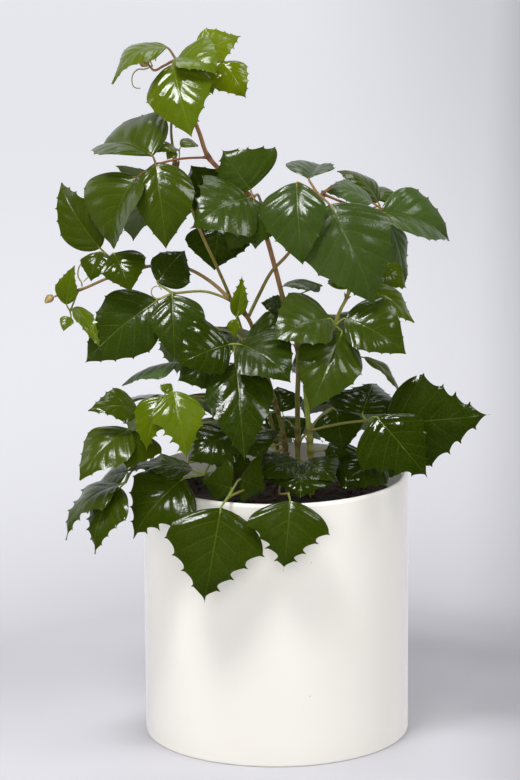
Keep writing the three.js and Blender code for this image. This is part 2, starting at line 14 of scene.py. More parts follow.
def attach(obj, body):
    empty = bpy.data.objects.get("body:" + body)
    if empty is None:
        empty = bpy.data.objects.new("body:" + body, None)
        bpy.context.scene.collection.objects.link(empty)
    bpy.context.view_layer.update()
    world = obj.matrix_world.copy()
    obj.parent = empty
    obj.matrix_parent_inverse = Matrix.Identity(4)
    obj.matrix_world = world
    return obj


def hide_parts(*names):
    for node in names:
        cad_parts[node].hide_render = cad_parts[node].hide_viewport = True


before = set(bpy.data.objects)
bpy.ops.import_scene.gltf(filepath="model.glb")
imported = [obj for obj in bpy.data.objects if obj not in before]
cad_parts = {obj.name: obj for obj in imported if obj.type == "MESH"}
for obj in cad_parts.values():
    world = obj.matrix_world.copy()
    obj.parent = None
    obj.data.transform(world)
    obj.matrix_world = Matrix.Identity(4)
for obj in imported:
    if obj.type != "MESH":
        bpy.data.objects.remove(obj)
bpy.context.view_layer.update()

MM = 0.001
SEED = 7

# ---- the plant's layout --------------------------------------------------------------------------
# Places are [across, forward, height]: mm to the right of the plant's middle, mm in front of it, and the
# height at which a line falling forward by SIGHT_FALL meets the plane of the axis.
SIGHT_FALL = 0.2224
PLANT_ASIDE = -1.7  # mm to the right of the pot's axis that the plant's middle stands

# Vines: points [across, forward, height, radius] from the soil to the growing tip.
VINES = {
    "crown_vine": [
        [15, 4, 156, 1.7], [15, 4, 180, 1.6], [15, 6, 204, 1.6], [15, 10, 238, 1.5], [8, 12, 261, 1.5],
        [2, 12, 285, 1.5], [-5, 12, 310, 1.5], [-12, 11, 327, 1.5], [-25, 8, 339, 1.5],
        [-37, 3, 352, 1.4], [-42, 0, 366, 1.3], [-47, 0, 380, 1.2], [-52, 0, 398, 1.0],
        [-55, 2, 409, 1.0], [-62, 4, 406, 0.8], [-68, 6, 403, 0.8], [-71, 7, 406, 0.7]],
    "left_vine": [
        [10, 10, 155, 1.5], [7, 12, 180, 1.4], [1, 16, 205, 1.4], [-7, 24, 232, 1.3],
        [-14, 32, 254, 1.3], [-25, 32, 266, 1.2], [-37, 26, 277, 1.1], [-52, 18, 285, 1.0],
        [-72, 14, 286, 0.9], [-94, 16, 280, 0.9], [-113, 18, 272, 0.9], [-119, 19, 271, 0.7],
        [-128, 20, 268, 0.6]],
    "olive_vine": [
        [7, -2, 156, 1.2], [2, 0, 180, 1.2], [-6, 6, 208, 1.1], [-17, 14, 244, 1.0],
        [-25, 18, 268, 1.0], [-33, 14, 287, 1.0], [-42, 8, 307, 0.9], [-50, 0, 329, 0.9],
        [-56, -6, 348, 0.9], [-59, -10, 368, 0.8], [-57, -12, 387, 0.7]],
    "right_vine": [
        [-13.4, 30.6, 255.4, 1.1], [-8, 22, 267, 1.1], [0, 20, 282, 1.0], [10, 18, 293, 1.0],
        [20, 20, 310, 1.0], [29, 22, 327, 1.0], [36, 14, 333, 0.8]],
    "green_stem": [
        [24, 16, 157, 1.8], [22, 18, 182, 1.7], [20, 20, 212, 1.5], [24, 28, 232, 1.4],
        [36, 44, 248, 1.3], [40, 45, 258, 1.1], [44, 44, 266, 0.9], [45, 43, 271, 0.8]],
}

# Leaves: youth (0 old and dark, 1 fresh), which also paints light and shade, lower on some shaded
# leaves and higher on some lit ones; points of the petiole from its vine, hub, and one row a leaflet,
# the middle one first: base place, tip place, width, the way the blade faces as azimuth (0 forward, 90
# right) and elevation, arch of the midrib as a share of its length, and the angle in degrees by which
# both halves fold up from the midrib.
LEAVES = {
    "crown_leaf": (0.65, [[-54, 3, 407]], [-55, 7, 409], [
        [-57, 10, 406, -46, 36, 361.5, 40, -10, 30, 0.1, 6],
        [-60, 9, 416, -93, 16, 395, 31, -25, 72, 0.21, 4],
        [-54, 9, 410, -31, 24, 399, 34, 5, 56, 0.14, 24]]),
    "crown_young_leaf": (1.0, [[-54, 0, 411], [-47, -3, 406]], [-40, -8, 406], [
        [-43, -8, 414.5, -17, -20, 426, 23, 5, 26, 0.08, 10],
        [-28.5, -8, 409, -14, 0, 387, 26, 15, 25, 0.1, 4],
        [-39, -6, 404, -34, -2, 389, 16, -20, 20, 0.08, 10]]),
    "upper_left_leaf": (0.25, [[-37, 5, 351], [-53, 14, 350]], [-67, 27, 346], [
        [-78, 28, 338.5, -93, 34, 296, 60, -50, 24, 0.12, 30],
        [-69, 30, 351, -103.5, -6, 357, 54, 0, 60, 0.14, 26],
        [-67, 33, 346, -61, 50, 295, 36, 4, 24, 0.1, 6]]),
    "left_leaf": (0.2, [[-76, 14, 286], [-88, 20, 290]], [-95, 26, 291], [
        [-101, 14, 297, -125, -4, 337.5, 31, -38, 24, 0.1, 24],
        [-101, 31, 294, -105.5, 40, 276.5, 22, -15, 34, 0.12, 5],
        [-92, 34, 293, -82, 48, 270, 28, 5, 32, 0.12, 6]]),
    "left_young_leaf": (0.5, [[-114, 20, 271], [-117, 21, 264]], [-119, 22, 259], [
        [-116, 25, 261, -100, 46, 236, 12, 10, 40, 0.12, 22],
        [-121, 24, 263, -116, 29, 286, 15, -20, 10, 0.06, 14],
        [-118.5, 23, 255, -123, 28, 247, 10, -20, 30, 0.1, 20]]),
    "mid_left_leaf": (0.05, [[-25, 34, 265], [-39, 34, 270]], [-58, 36, 269], [
        [-67, 35, 265, -110.5, 37, 228, 43, -22, 14, 0.1, 6],
        [-58, 42, 268, -56.5, 60, 228, 33, 0, 26, 0.1, 6],
        [-67, 32, 276, -51, 14, 296, 27, 0, 30, 0.08, 5]]),
    "twig_leaf": (0.7, [[-55, -3, 347], [-54, 1, 352]], [-54, 3, 356], [
        [-53, 2, 358, -43, -8, 359, 11, 0, 60, 0.22, 10],
        [-56, 4, 357, -68, 10, 354, 10, -10, 50, 0.22, 10],
        [-56, 5, 355, -61, 11, 350, 8, 0, 40, 0.1, 10]]),
    "centre_top_leaf": (0.1, [[-12, 14, 326]], [-11, 22, 327], [
        [-13, 24, 326, -47, 44, 308, 50, -14, 30, 0.12, 9],
        [-12, 20, 331, -29, 15, 355.5, 46, -4, 14, 0.06, 3],
        [-10, 24, 325, -25, 42, 293, 42, 8, 32, 0.12, 6]]),
    "back_top_leaf": (0.0, [[-5, 8, 309], [-19, -4, 312]], [-31, -12, 316], [
        [-31, -10, 313, -34, -2, 284, 39, -5, 20, 0.1, 4],
        [-34, -14, 320, -48, -16, 348, 38, -20, 34, 0.1, 4],
        [-29, -16, 319, -19, -50, 336, 34, 10, 50, 0.1, 4]]),
    "upper_right_leaf": (0.0, [[28, 24, 325]], [27, 32, 328], [
        [34, 38, 321, 60, 58, 261, 57, 10, 26, 0.08, 7],
        [15, 38, 334, 18, 60, 285, 39, -8, 28, 0.12, 6],
        [22, 26, 337, 30, -4, 348, 32, 0, 78, 0.05, 24]]),
    "far_right_leaf": (0.05, [[30, 20, 327], [48, 8, 322]], [67, 2, 319], [
        [65, 10, 317.5, 106, -4, 301.5, 43, 0, 52, 0.14, 26],
        [69, -8, 315, 79, -5, 272, 28, 50, 18, 0.08, 5],
        [60, 2, 324, 30, 8, 332, 28, -5, 66, 0.12, 4]]),
    "far_right_back_leaf": (0.2, [[24, 21, 317], [38, 2, 317], [52, -12, 319]], [65, -14, 323], [
        [64, -16, 325, 40, -26, 345, 24, -5, 78, 0.17, 4],
        [63, -18, 327, 69, -38, 336, 24, 10, 60, 0.1, 5]]),
    "right_back_leaf": (0.4, [[25, 22, 319], [44, 8, 306]], [59, 9, 290], [
        [63, 12, 284, 80, 12, 272, 20, 10, 45, 0.14, 6],
        [57, 8, 288, 46, -22, 299, 30, 0, 45, 0.1, 5]]),
    "right_leaf": (0.15, [[15, 26, 238], [26, 38, 242]], [37, 50, 249], [
        [41, 50, 245, 22, 78, 198.5, 39, 2, 26, 0.1, 6],
        [34, 52, 253, 1, 72, 241, 42, -10, 38, 0.1, 11],
        [42, 52, 253, 78, 60, 232, 39, 12, 38, 0.11, 12]]),
    "right_young_leaf": (0.5, [[44, 44, 265], [47, 37, 270]], [52, 32, 271], [
        [54, 31, 271, 84, 30, 251, 26, 12, 58, 0.12, 5],
        [50, 30, 273, 40, 4, 284, 24, 0, 50, 0.1, 6]]),
    "right_drop_leaf": (0.45, [[19, 20, 212], [29, 30, 221]], [43, 38, 230], [
        [54, 38, 230, 75, 36, 206, 11, 60, 48, 0.16, 8],
        [37, 18, 227, 9, -14, 225, 30, -10, 20, 0.1, 5]]),
    "front_leaf": (0.0, [[-5, 32, 228], [-10, 47, 225], [-15, 59, 228]], [-22, 62, 238], [
        [-21, 62, 227, -16, 94, 170, 40, 2, 22, 0.08, 7],
        [-24, 62, 238, -55, 76, 226, 36, -12, 22, 0.1, 5],
        [-19, 62, 238, 11, 82, 216, 42, 14, 46, 0.12, 6]]),
    "front_back_leaf": (0.0, [[-5, 27, 228], [-14, 31, 236]], [-19, 36, 241], [
        [-15, 39, 242, 8, 47, 241, 39, 5, 48, 0.1, 6],
        [-26, 40, 230, -55, 54, 217, 46, -14, 22, 0.1, 5]]),
    "young_centre_leaf": (0.6, [[-17, 34, 257]], [-18, 38, 261], [
        [-21, 38, 255, -17, 38, 280, 12, 15, 10, 0.06, 24],
        [-21, 40, 253, -22, 43, 241, 9, -15, 15, 0.06, 24]]),
    "grey_leaf": (0.05, [[7, 12, 264], [19, 4, 270]], [30, 6, 274], [
        [28, 8, 275, 6, 20, 273.5, 26, -5, 84, 0.1, -3]]),
    "centre_small_leaf": (0.05, [[12, 12, 250], [13, 4, 253]], [11, 0, 255], [
        [10, 0, 256, -6, 6, 264, 26, -10, 58, 0.1, 5],
        [12, -4, 257, 19, -28, 269, 24, 0, 50, 0.1, 5]]),
    "silver_leaf": (0.05, [[-6, 28, 222], [-28, 32, 227]], [-53, 32, 228], [
        [-55, 32, 228, -89, 34, 215, 28, -5, 91, 0.08, -6]]),
    "low_left_leaf": (0.3, [[-6, 22, 192], [-42, 52, 191]], [-78, 68, 189], [
        [-83, 70, 188, -112, 86, 159, 34, -30, 35, 0.1, 5],
        [-78, 66, 199, -106, 80, 199.5, 25, -8, 45, 0.12, 5],
        [-79, 68, 187, -84, 82, 164, 30, 6, 20, 0.1, 5]]),
    "low_left_young_leaf": (0.58, [[-6, 22, 199], [-34, 54, 207]], [-61, 74, 207], [
        [-57, 78, 210, -49, 94, 169, 31, 6, 24, 0.1, 6],
        [-64, 77, 207, -73, 90, 175, 22, -16, 20, 0.1, 6],
        [-62, 72, 209, -58, 67, 215, 9, 0, 20, 0.1, 12]]),
    "left_rim_leaf": (0.15, [[-6, 18, 174], [-49, 32, 167], [-80, 45, 164]], [-86, 66, 156], [
        [-89, 70, 153, -105, 82, 114, 34, -40, 40, 0.14, 6],
        [-89, 68, 155, -122, 78, 123, 36, -62, 52, 0.16, 6],
        [-85, 58, 162, -105, 54, 152, 34, -10, 74, 0.1, 4]]),
    "rim_inner_leaf": (0.1, [[-3, 20, 171], [-19, 38, 165]], [-40, 54, 160], [
        [-52, 62, 158, -82, 74, 123, 48, -18, 32, 0.12, 6],
        [-47, 54, 163, -87, 60, 164, 34, -5, 78, 0.08, 3],
        [-35, 45, 169, -11, 42, 165.5, 24, 8, 25, 0.1, 5]]),
    "front_rim_leaf": (0.1, [[7, 24, 167], [-9, 50, 155]], [-26, 78, 147], [
        [-30, 88, 141, -40, 98.9, 84.2, 57, 2, 22, 0.09, 5],
        [-24, 65, 152, -43, 58, 158, 27, -5, 10, 0.08, 4],
        [-19, 62.5, 157.5, -3, 62, 150.5, 30, 6, 12, 0.08, 4]]),
    "front_rim_right_leaf": (0.1, [[9, 24, 162], [4, 54, 149]], [9, 80, 149], [
        [10, 88, 145, 6, 100, 103, 48, 4, 24, 0.11, 4]]),
    "inner_front_leaf": (0.0, [[15, 14, 166], [16, 26, 169]], [17, 36, 167], [
        [17, 40, 165, 16, 66, 147, 44, 0, 62, 0.1, 3],
        [15, 38, 167, -10, 56, 158, 32, -10, 60, 0.1, 4],
        [19, 38, 167, 36, 56, 156, 30, 12, 58, 0.1, 4]]),
    "low_right_leaf": (0.0, [[22, 18, 186], [40, 34, 190]], [55, 48, 192], [
        [66, 46, 190, 127.4, 54, 195, 54, 5, 10, 0.08, 4],
        [61, 62, 194, 90, 74, 158, 46, 6, 12, 0.1, 6],
        [53, 44, 196, 62, 14, 215, 46, -6, 50, 0.1, 4]]),
    "low_right_inner_leaf": (0.0, [[21, 14, 180], [27, 10, 192]], [36, 9, 199], [
        [38, 11, 198, 42, 19, 173, 30, 0, 32, 0.1, 5],
        [38, 5, 202, 50, -15, 209, 26, 0, 80, 0.1, -6],
        [34, 3, 203, 27, -23, 207, 24, -10, 50, 0.1, 5]]),
    "right_rim_leaf": (0.0, [[21, 12, 174], [40, 14, 174]], [60, 18, 172], [
        [63, 24, 168, 40, 46, 151, 34, -6, 50, 0.1, 4],
        [60, 22, 170, 79, 20, 160, 30, 10, 40, 0.1, 4],
        [56, 15, 170, 29, 33, 156, 33, -8, 38, 0.1, 4]]),
    "centre_low_leaf": (0.0, [[6, 18, 180], [-6, 28, 185]], [-19, 38, 187], [
        [-23, 42, 185, -50, 55, 168, 36, -14, 38, 0.1, 5],
        [-17, 42, 184, -6, 58, 170, 34, 8, 46, 0.1, 5],
        [-19, 28, 190, -26, 2, 207, 28, 0, 40, 0.1, 5]]),
    "stem_back_leaf": (0.1, [[13, 0, 186], [11, -12, 190]], [7, -20, 193], [
        [5, -18, 194, -4, -10, 187, 18, -15, 20, 0.1, 5],
        [8, -20, 191, 17, -14, 180, 20, 10, 40, 0.1, 5],
        [6, -22, 197, 3, -34, 213, 24, 0, 30, 0.1, 5]]),
    "back_rim_leaf": (0.0, [[3, -4, 170], [-4, -44, 184]], [-10, -66, 191], [
        [-11, -74, 190, -14, -112, 144, 50, 182, 30, 0.12, 5],
        [-17, -66, 192, -54, -86, 180, 36, 200, 60, 0.1, 4],
        [-3, -68, 192, 32, -92, 179, 36, 165, 60, 0.1, 4]]),
    "back_right_leaf": (0.0, [[16, -12, 182], [34, -36, 198]], [48, -52, 203], [
        [53, -59, 203, 72, -98, 172, 46, 150, 35, 0.1, 5],
        [53, -52, 204, 90, -58, 197, 38, 110, 55, 0.1, 4],
        [43, -58, 203, 20, -90, 194, 34, 180, 55, 0.1, 4]]),
    "back_left_leaf": (0.05, [[-2, -8, 180], [-34, -30, 202]], [-58, -44, 207], [
        [-62, -51, 206, -84, -90, 175, 46, 208, 35, 0.1, 5],
        [-63, -43, 207, -102, -38, 198, 36, 250, 55, 0.1, 4],
        [-54, -51, 207, -36, -86, 195, 34, 180, 55, 0.1, 4]]),
    "back_mid_left_leaf": (0.1, [[0, 0, 224], [-20, -26, 244]], [-36, -42, 250], [
        [-40, -49, 249, -60, -86, 222, 46, 205, 30, 0.1, 5],
        [-42, -41, 250, -72, -40, 254, 34, 240, 50, 0.1, 4],
        [-33, -49, 250, -20, -88, 234, 36, 172, 45, 0.1, 4]]),
    "back_mid_right_leaf": (0.1, [[18, 12, 236], [28, -26, 254]], [34, -44, 257], [
        [36, -52, 256, 44, -92, 230, 46, 170, 30, 0.1, 5],
        [40, -44, 257, 68, -46, 252, 36, 120, 50, 0.1, 4],
        [29, -50, 257, 14, -86, 246, 34, 190, 50, 0.1, 4]]),
    "back_top_left_leaf": (0.3, [[-57, -8, 352], [-60, -16, 341]], [-64, -24, 333], [
        [-67, -31, 331, -86, -64, 307, 42, 215, 30, 0.1, 5],
        [-72, -23, 333, -92.5, -22, 349, 20, 250, 50, 0.1, 4],
        [-61, -31, 333, -54, -70, 320, 36, 175, 45, 0.1, 4]]),
    "back_top_right_leaf": (0.1, [[20, 18, 310], [28, 0, 306]], [42, -22, 306], [
        [45, -30, 304, 58, -68, 278, 46, 165, 30, 0.1, 5],
        [47, -22, 309, 74, -28, 304, 36, 115, 50, 0.1, 4],
        [37, -29, 306, 22, -64, 298, 36, 190, 50, 0.1, 4]]),
    "back_centre_leaf": (0.1, [[-10, 10, 326], [-8, -12, 330]], [-6, -30, 326], [
        [-7, -38, 324, -10, -80, 302, 46, 182, 30, 0.1, 5],
        [-1, -32, 326, 24, -58, 324, 36, 160, 55, 0.1, 4],
        [-12, -33, 322, -34, -54, 308, 36, 200, 50, 0.1, 4]]),
}

TENDRILS = {
    "crown_tendril": [
        [-71, 7.2, 404.5], [-74, 8, 403.4], [-77, 8, 403.5], [-80, 9, 401], [-81, 10, 397],
        [-80, 11, 393], [-78, 12, 392], [-76, 12, 392]],
    "crown_hook_tendril": [
        [-69, 7.8, 405], [-70, 10, 409], [-69, 10, 410], [-67, 10, 410], [-67, 10, 408]],
    "left_loop_tendril": [
        [-112, 18.6, 274.2], [-112, 20, 276], [-114, 21, 280], [-113, 22, 286], [-110, 23, 289],
        [-107, 22, 288], [-107, 20, 284], [-108, 18, 280], [-111, 17, 277]],
    "mid_left_tendril": [
        [-60, 39.5, 268], [-64, 45, 266], [-68, 47, 266], [-70, 48, 269], [-69, 48, 272],
        [-66, 47, 273], [-64, 46, 271]],
}

# Buds: base place, tip place, widest radius.
BUDS = {
    "crown_bud": ([-71.5, 7.1, 406.4], [-77, 9, 409], 2.6),
    "left_bud": ([-129, 20, 268], [-133.8, 22, 264], 2.2),
}


def place(spot):
    """A place of the layout as a point of the model, in mm."""
    across, forward, height = spot[:3]
    return np.array([across + PLANT_ASIDE, -forward, height + SIGHT_FALL * forward], float)


def unit(v):
    return v / np.linalg.norm(v, axis=-1, keepdims=True)


def ease(x):
    """0 below 0, 1 above 1 and smooth between."""
    x = np.clip(x, 0, 1)
    return x * x * (3 - 2 * x)


def run_along(points, power=1.0):
    """How far each point lies along its line, each stretch taken to a power."""
    return np.concatenate([[0], np.cumsum(np.linalg.norm(np.diff(points, axis=0), axis=1) ** power)])


def around(segments):
    return 2 * np.pi * np.arange(segments) / segments


# ---- meshes --------------------------------------------------------------------------------------
class Skin:
    """Gathers closed shells, in mm, that end up as one mesh."""

    def __init__(self):
        self.points, self.faces, self.slots, self.values = [], [], [], {}
        self.count = 0

    def add(self, points, faces, slot=0, **values):
        n = len(points)
        for name in sorted(set(values) | set(self.values)):
            column = self.values.setdefault(name, [np.zeros(self.count)])
            column.append(np.broadcast_to(np.asarray(values.get(name, 0.0), float), n))
        self.points.append(np.asarray(points, float))
        self.faces += [[i + self.count for i in face] for face in faces]
        self.slots += [slot] * len(faces)
        self.count += n

    def piece(self, name, materials, smooth_to=55):
        """One object at the origin that stands for the CAD node of the same name."""
        data = bpy.data.meshes.new(name)
        data.from_pydata(np.concatenate(self.points) * MM, [], self.faces)
        for attribute, columns in self.values.items():
            made = data.attributes.new(attribute, "FLOAT", "POINT")
            made.data.foreach_set("value", np.concatenate(columns).astype(np.float32))
        data.polygons.foreach_set("material_index", self.slots)
        data.shade_smooth()
        data.set_sharp_from_angle(angle=math.radians(smooth_to))
        for material in materials:
            data.materials.append(material)
        data.validate()
        made = bpy.data.objects.new(name, data)
        bpy.context.scene.collection.objects.link(made)
        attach(made, "root")
        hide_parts(name.removesuffix("_piece"))


def grid_faces(rows, columns, first=0, closed=False, flip=False):
    """Quads of a grid of points; closed joins the last column to the first."""
    faces = []
    for i in range(rows - 1):
        for j in range(columns if closed else columns - 1):
            k = (j + 1) % columns
            face = [i * columns + j, i * columns + k, (i + 1) * columns + k, (i + 1) * columns + j]
            faces.append([first + q for q in (reversed(face) if flip else face)])
    return faces


def capped_faces(rows, sides):
    """Faces of stacked rings, closed off by one point before the first and one after the last."""
    n = rows * sides
    faces = grid_faces(rows, sides, closed=True)
    faces += [[n, (j + 1) % sides, j] for j in range(sides)]
    faces += [[n + 1, n - sides + j, n - sides + (j + 1) % sides] for j in range(sides)]
    return faces


def smooth_curve(points, spacing):
    """Points spaced evenly on a centripetal Catmull-Rom curve, and each one's place in the list."""
    p = np.asarray(points, float)
    if len(p) == 2:
        n = max(2, int(np.linalg.norm(p[1] - p[0]) / spacing) + 1)
        t = np.linspace(0, 1, n)
        return p[0] + t[:, None] * (p[1] - p[0]), t
    p = np.vstack([2 * p[0] - p[1], p, 2 * p[-1] - p[-2]])
    knots = run_along(p, 0.5)
    dense, order = [], []
    for i in range(1, len(p) - 2):
        t0, t1, t2, t3 = knots[i - 1:i + 3]
        t = np.linspace(t1, t2, 24, endpoint=i == len(p) - 3)[:, None]
        a1 = (t1 - t) / (t1 - t0) * p[i - 1] + (t - t0) / (t1 - t0) * p[i]
        a2 = (t2 - t) / (t2 - t1) * p[i] + (t - t1) / (t2 - t1) * p[i + 1]
        a3 = (t3 - t) / (t3 - t2) * p[i + 1] + (t - t2) / (t3 - t2) * p[i + 2]
        b1 = (t2 - t) / (t2 - t0) * a1 + (t - t0) / (t2 - t0) * a2
        b2 = (t3 - t) / (t3 - t1) * a2 + (t - t1) / (t3 - t1) * a3
        dense.append((t2 - t) / (t2 - t1) * b1 + (t - t1) / (t2 - t1) * b2)
        order.append(i - 1 + (t[:, 0] - t1) / (t2 - t1))
    dense, order = np.vstack(dense), np.concatenate(order)
    run = run_along(dense)
    even = np.linspace(0, run[-1], max(3, int(run[-1] / spacing) + 1))
    spots = np.stack([np.interp(even, run, dense[:, k]) for k in range(3)], axis=1)
    return spots, np.interp(even, run, order)


def ring_frames(spots):
    """Two directions across a curve at each of its points, turning as little as they can."""
    tangent = unit(np.gradient(spots, axis=0))
    across = np.empty_like(spots)
    first = np.array([0.0, 0.0, 1.0]) if abs(tangent[0, 2]) < 0.9 else np.array([1.0, 0.0, 0.0])
    for i, t in enumerate(tangent):
        first = unit(first - (first @ t) * t)
        across[i] = first
    return across, np.cross(tangent, across), tangent


def tube(skin, spots, radii, sides, slot=0, ribs=0.0, flatten=1.0, **values):
    """A closed round-ended tube along points, with a radius at each and faint ribs along it."""
    across, over, tangent = ring_frames(spots)
    angle = around(sides)
    swell = radii[:, None] * (1 + ribs * np.cos(5 * angle))[None, :]
    ring = (across[:, None] * np.cos(angle)[None, :, None] * swell[:, :, None]
            + over[:, None] * np.sin(angle)[None, :, None] * swell[:, :, None] * flatten)
    body = (spots[:, None] + ring).reshape(-1, 3)
    tips = [spots[0] - 0.6 * radii[0] * tangent[0], spots[-1] + 0.6 * radii[-1] * tangent[-1]]
    spread = {}
    for name, value in {**values, "run": run_along(spots)}.items():
        value = np.asarray(value, float)
        if value.ndim:
            value = np.concatenate([np.repeat(value, sides), value[[0, -1]]])
        spread[name] = value
    spread["turn_x"] = np.concatenate([np.tile(np.cos(angle), len(spots)), [0, 0]])
    spread["turn_y"] = np.concatenate([np.tile(np.sin(angle), len(spots)), [0, 0]])
    skin.add(np.vstack([body, tips]), capped_faces(len(spots), sides), slot, **spread)


# ---- materials -----------------------------------------------------------------------------------
# Sockets that go by number. The Mix node has one set for each kind of data. A MapRange takes value 0
# from the range 1 to 2 over to the range 3 to 4, and a range that isn't given is 0 to 1.
MIX_A, MIX_B, MIX_COLOUR = 6, 7, 2


def linear(colour, alpha=1.0):
    """A hex sRGB colour as linear red, green, blue and alpha."""
    parts = [int(colour[i:i + 2], 16) / 255 for i in (1, 3, 5)]
    parts = [c / 12.92 if c <= 0.04045 else ((c + 0.055) / 1.055) ** 2.4 for c in parts]
    return (*parts, alpha)


def feed(tree, made, inputs):
    """Gives a node its inputs: each is a value, or another node's output to link."""
    for socket, value in inputs.items():
        if isinstance(value, bpy.types.NodeSocket):
            tree.links.new(value, made.inputs[socket])
        else:
            made.inputs[socket].default_value = value


def node(tree, kind, inputs, output=0, **settings):
    """Adds a node with its settings and inputs, and gives one of its outputs."""
    made = tree.nodes.new("ShaderNode" + kind)
    for name, value in settings.items():
        setattr(made, name, value)
    feed(tree, made, inputs)
    return made.outputs[output]


def new_material(name):
    material = bpy.data.materials.new(name)
    material.use_nodes = True
    tree = material.node_tree
    return material, tree, tree.nodes["Principled BSDF"]


def cuticle_leaf(name, old, young, vein, under):
    """A waxy leaf: a clear glossy skin over green flesh, with paler veins and a dull pale underside."""
    material, tree, shader = new_material(name)
    youth, midrib, rib, beneath, tone, bloom = (
        node(tree, "Attribute", {}, "Fac", attribute_name=a)
        for a in ("youth", "midrib", "vein", "under", "tone", "bloom"))
    spot = node(tree, "TexCoord", {}, "Object")
    # Blotches of thicker flesh, the skin's fine grain and the net of the smallest veins.
    patches = node(tree, "TexNoise", {"Vector": spot, "Scale": 1 / (14 * MM), "Detail": 3.0}, "Fac")
    grain = node(tree, "TexNoise", {"Vector": spot, "Scale": 1 / (2.4 * MM), "Detail": 3.0}, "Fac")
    net = node(tree, "TexVoronoi", {"Vector": spot, "Scale": 1 / (2.4 * MM)}, "Distance",
               feature="DISTANCE_TO_EDGE")
    # The flesh goes from the old to the young colour with youth, which also paints light and shade: the
    # darker old colour stands partly for shade on shaded leaves.
    flesh = node(tree, "Mix", {0: youth, MIX_A: linear(old), MIX_B: linear(young)}, MIX_COLOUR,
                 data_type="RGBA")
    spread = node(tree, "Math", {0: patches, 1: tone}, operation="ADD")
    lift = node(tree, "MapRange", {0: spread, 1: -0.1, 2: 1.1, 3: 0.75, 4: 1.25})
    mottled = node(tree, "Mix", {0: 1.0, MIX_A: flesh, MIX_B: lift}, MIX_COLOUR,
                   data_type="RGBA", blend_type="MULTIPLY")
    fine = node(tree, "MapRange", {0: net, 1: 0.0, 2: 0.16, 3: 0.06, 4: 0.0})
    netted = node(tree, "Mix", {0: fine, MIX_A: mottled, MIX_B: linear(vein)}, MIX_COLOUR,
                  data_type="RGBA")
    side = node(tree, "MapRange", {0: rib, 1: 1.4, 2: 0.5, 3: 0.0, 4: 0.13},
                interpolation_type="SMOOTHSTEP")
    middle = node(tree, "MapRange", {0: midrib, 1: 1.2, 2: 0.5, 3: 0.0, 4: 0.26},
                  interpolation_type="SMOOTHSTEP")
    veins = node(tree, "Math", {0: side, 1: middle}, operation="MAXIMUM")
    veined = node(tree, "Mix", {0: veins, MIX_A: netted, MIX_B: linear(vein)}, MIX_COLOUR,
                  data_type="RGBA")
    pale = node(tree, "Mix", {0: veins, MIX_A: linear(under), MIX_B: linear(vein)}, MIX_COLOUR,
                data_type="RGBA")
    both = node(tree, "Mix", {0: beneath, MIX_A: veined, MIX_B: pale}, MIX_COLOUR, data_type="RGBA")
    # The bloom is a thin wax that dulls the skin; the grey-green it mixes into the colour is painted
    # sheen.
    sheen_share = node(tree, "Math", {0: bloom, 1: 0.16}, operation="MULTIPLY")
    sheened = node(tree, "Mix", {0: sheen_share, MIX_A: both, MIX_B: linear("#587238")}, MIX_COLOUR,
                 data_type="RGBA")
    rough = node(tree, "MapRange", {0: patches, 1: 0.3, 2: 0.7, 3: 0.13, 4: 0.22})
    for value, share in ((tone, 0.2), (bloom, 0.07), (beneath, 0.3)):
        rough = node(tree, "Math", {0: value, 1: share, 2: rough}, operation="MULTIPLY_ADD")
    height = node(tree, "Math", {0: net, 1: 0.8, 2: grain}, operation="MULTIPLY_ADD")
    bump = node(tree, "Bump", {"Height": height, "Strength": 0.3, "Distance": 0.3 * MM}, "Normal")
    feed(tree, shader, {"Base Color": sheened, "Roughness": rough, "Normal": bump, "IOR": 1.42})
    return material


def stalk_skin(name, young, old, dark):
    """A living stalk: smooth skin, flushed along its length, streaked and a little hairy-dull."""
    material, tree, shader = new_material(name)
    age, knot, run, turn_x, turn_y = (
        node(tree, "Attribute", {}, "Fac", attribute_name=a)
        for a in ("age", "knot", "run", "turn_x", "turn_y"))
    along = node(tree, "Math", {0: run, 1: 0.12}, operation="MULTIPLY")
    lie = node(tree, "CombineXYZ", {0: turn_x, 1: turn_y, 2: along})
    streaks = node(tree, "TexNoise", {"Vector": lie, "Scale": 2.4, "Detail": 4.0}, "Fac")
    spot = node(tree, "TexCoord", {}, "Object")
    warts = node(tree, "TexNoise", {"Vector": spot, "Scale": 1 / (0.9 * MM), "Detail": 2.0}, "Fac")
    ripe = node(tree, "Mix", {0: age, MIX_A: linear(young), MIX_B: linear(old)}, MIX_COLOUR,
                data_type="RGBA")
    lift = node(tree, "MapRange", {0: streaks, 1: 0.3, 2: 0.7, 3: 0.7, 4: 1.25})
    streaked = node(tree, "Mix", {0: 1.0, MIX_A: ripe, MIX_B: lift}, MIX_COLOUR,
                    data_type="RGBA", blend_type="MULTIPLY")
    knotted = node(tree, "Mix", {0: knot, MIX_A: streaked, MIX_B: linear(dark)}, MIX_COLOUR,
                   data_type="RGBA")
    rough = node(tree, "MapRange", {0: warts, 3: 0.38, 4: 0.6})
    height = node(tree, "Math", {0: streaks, 1: warts}, operation="ADD")
    bump = node(tree, "Bump", {"Height": height, "Strength": 0.5, "Distance": 0.25 * MM}, "Normal")
    feed(tree, shader, {"Base Color": knotted, "Roughness": rough, "Normal": bump, "IOR": 1.45})
    return material


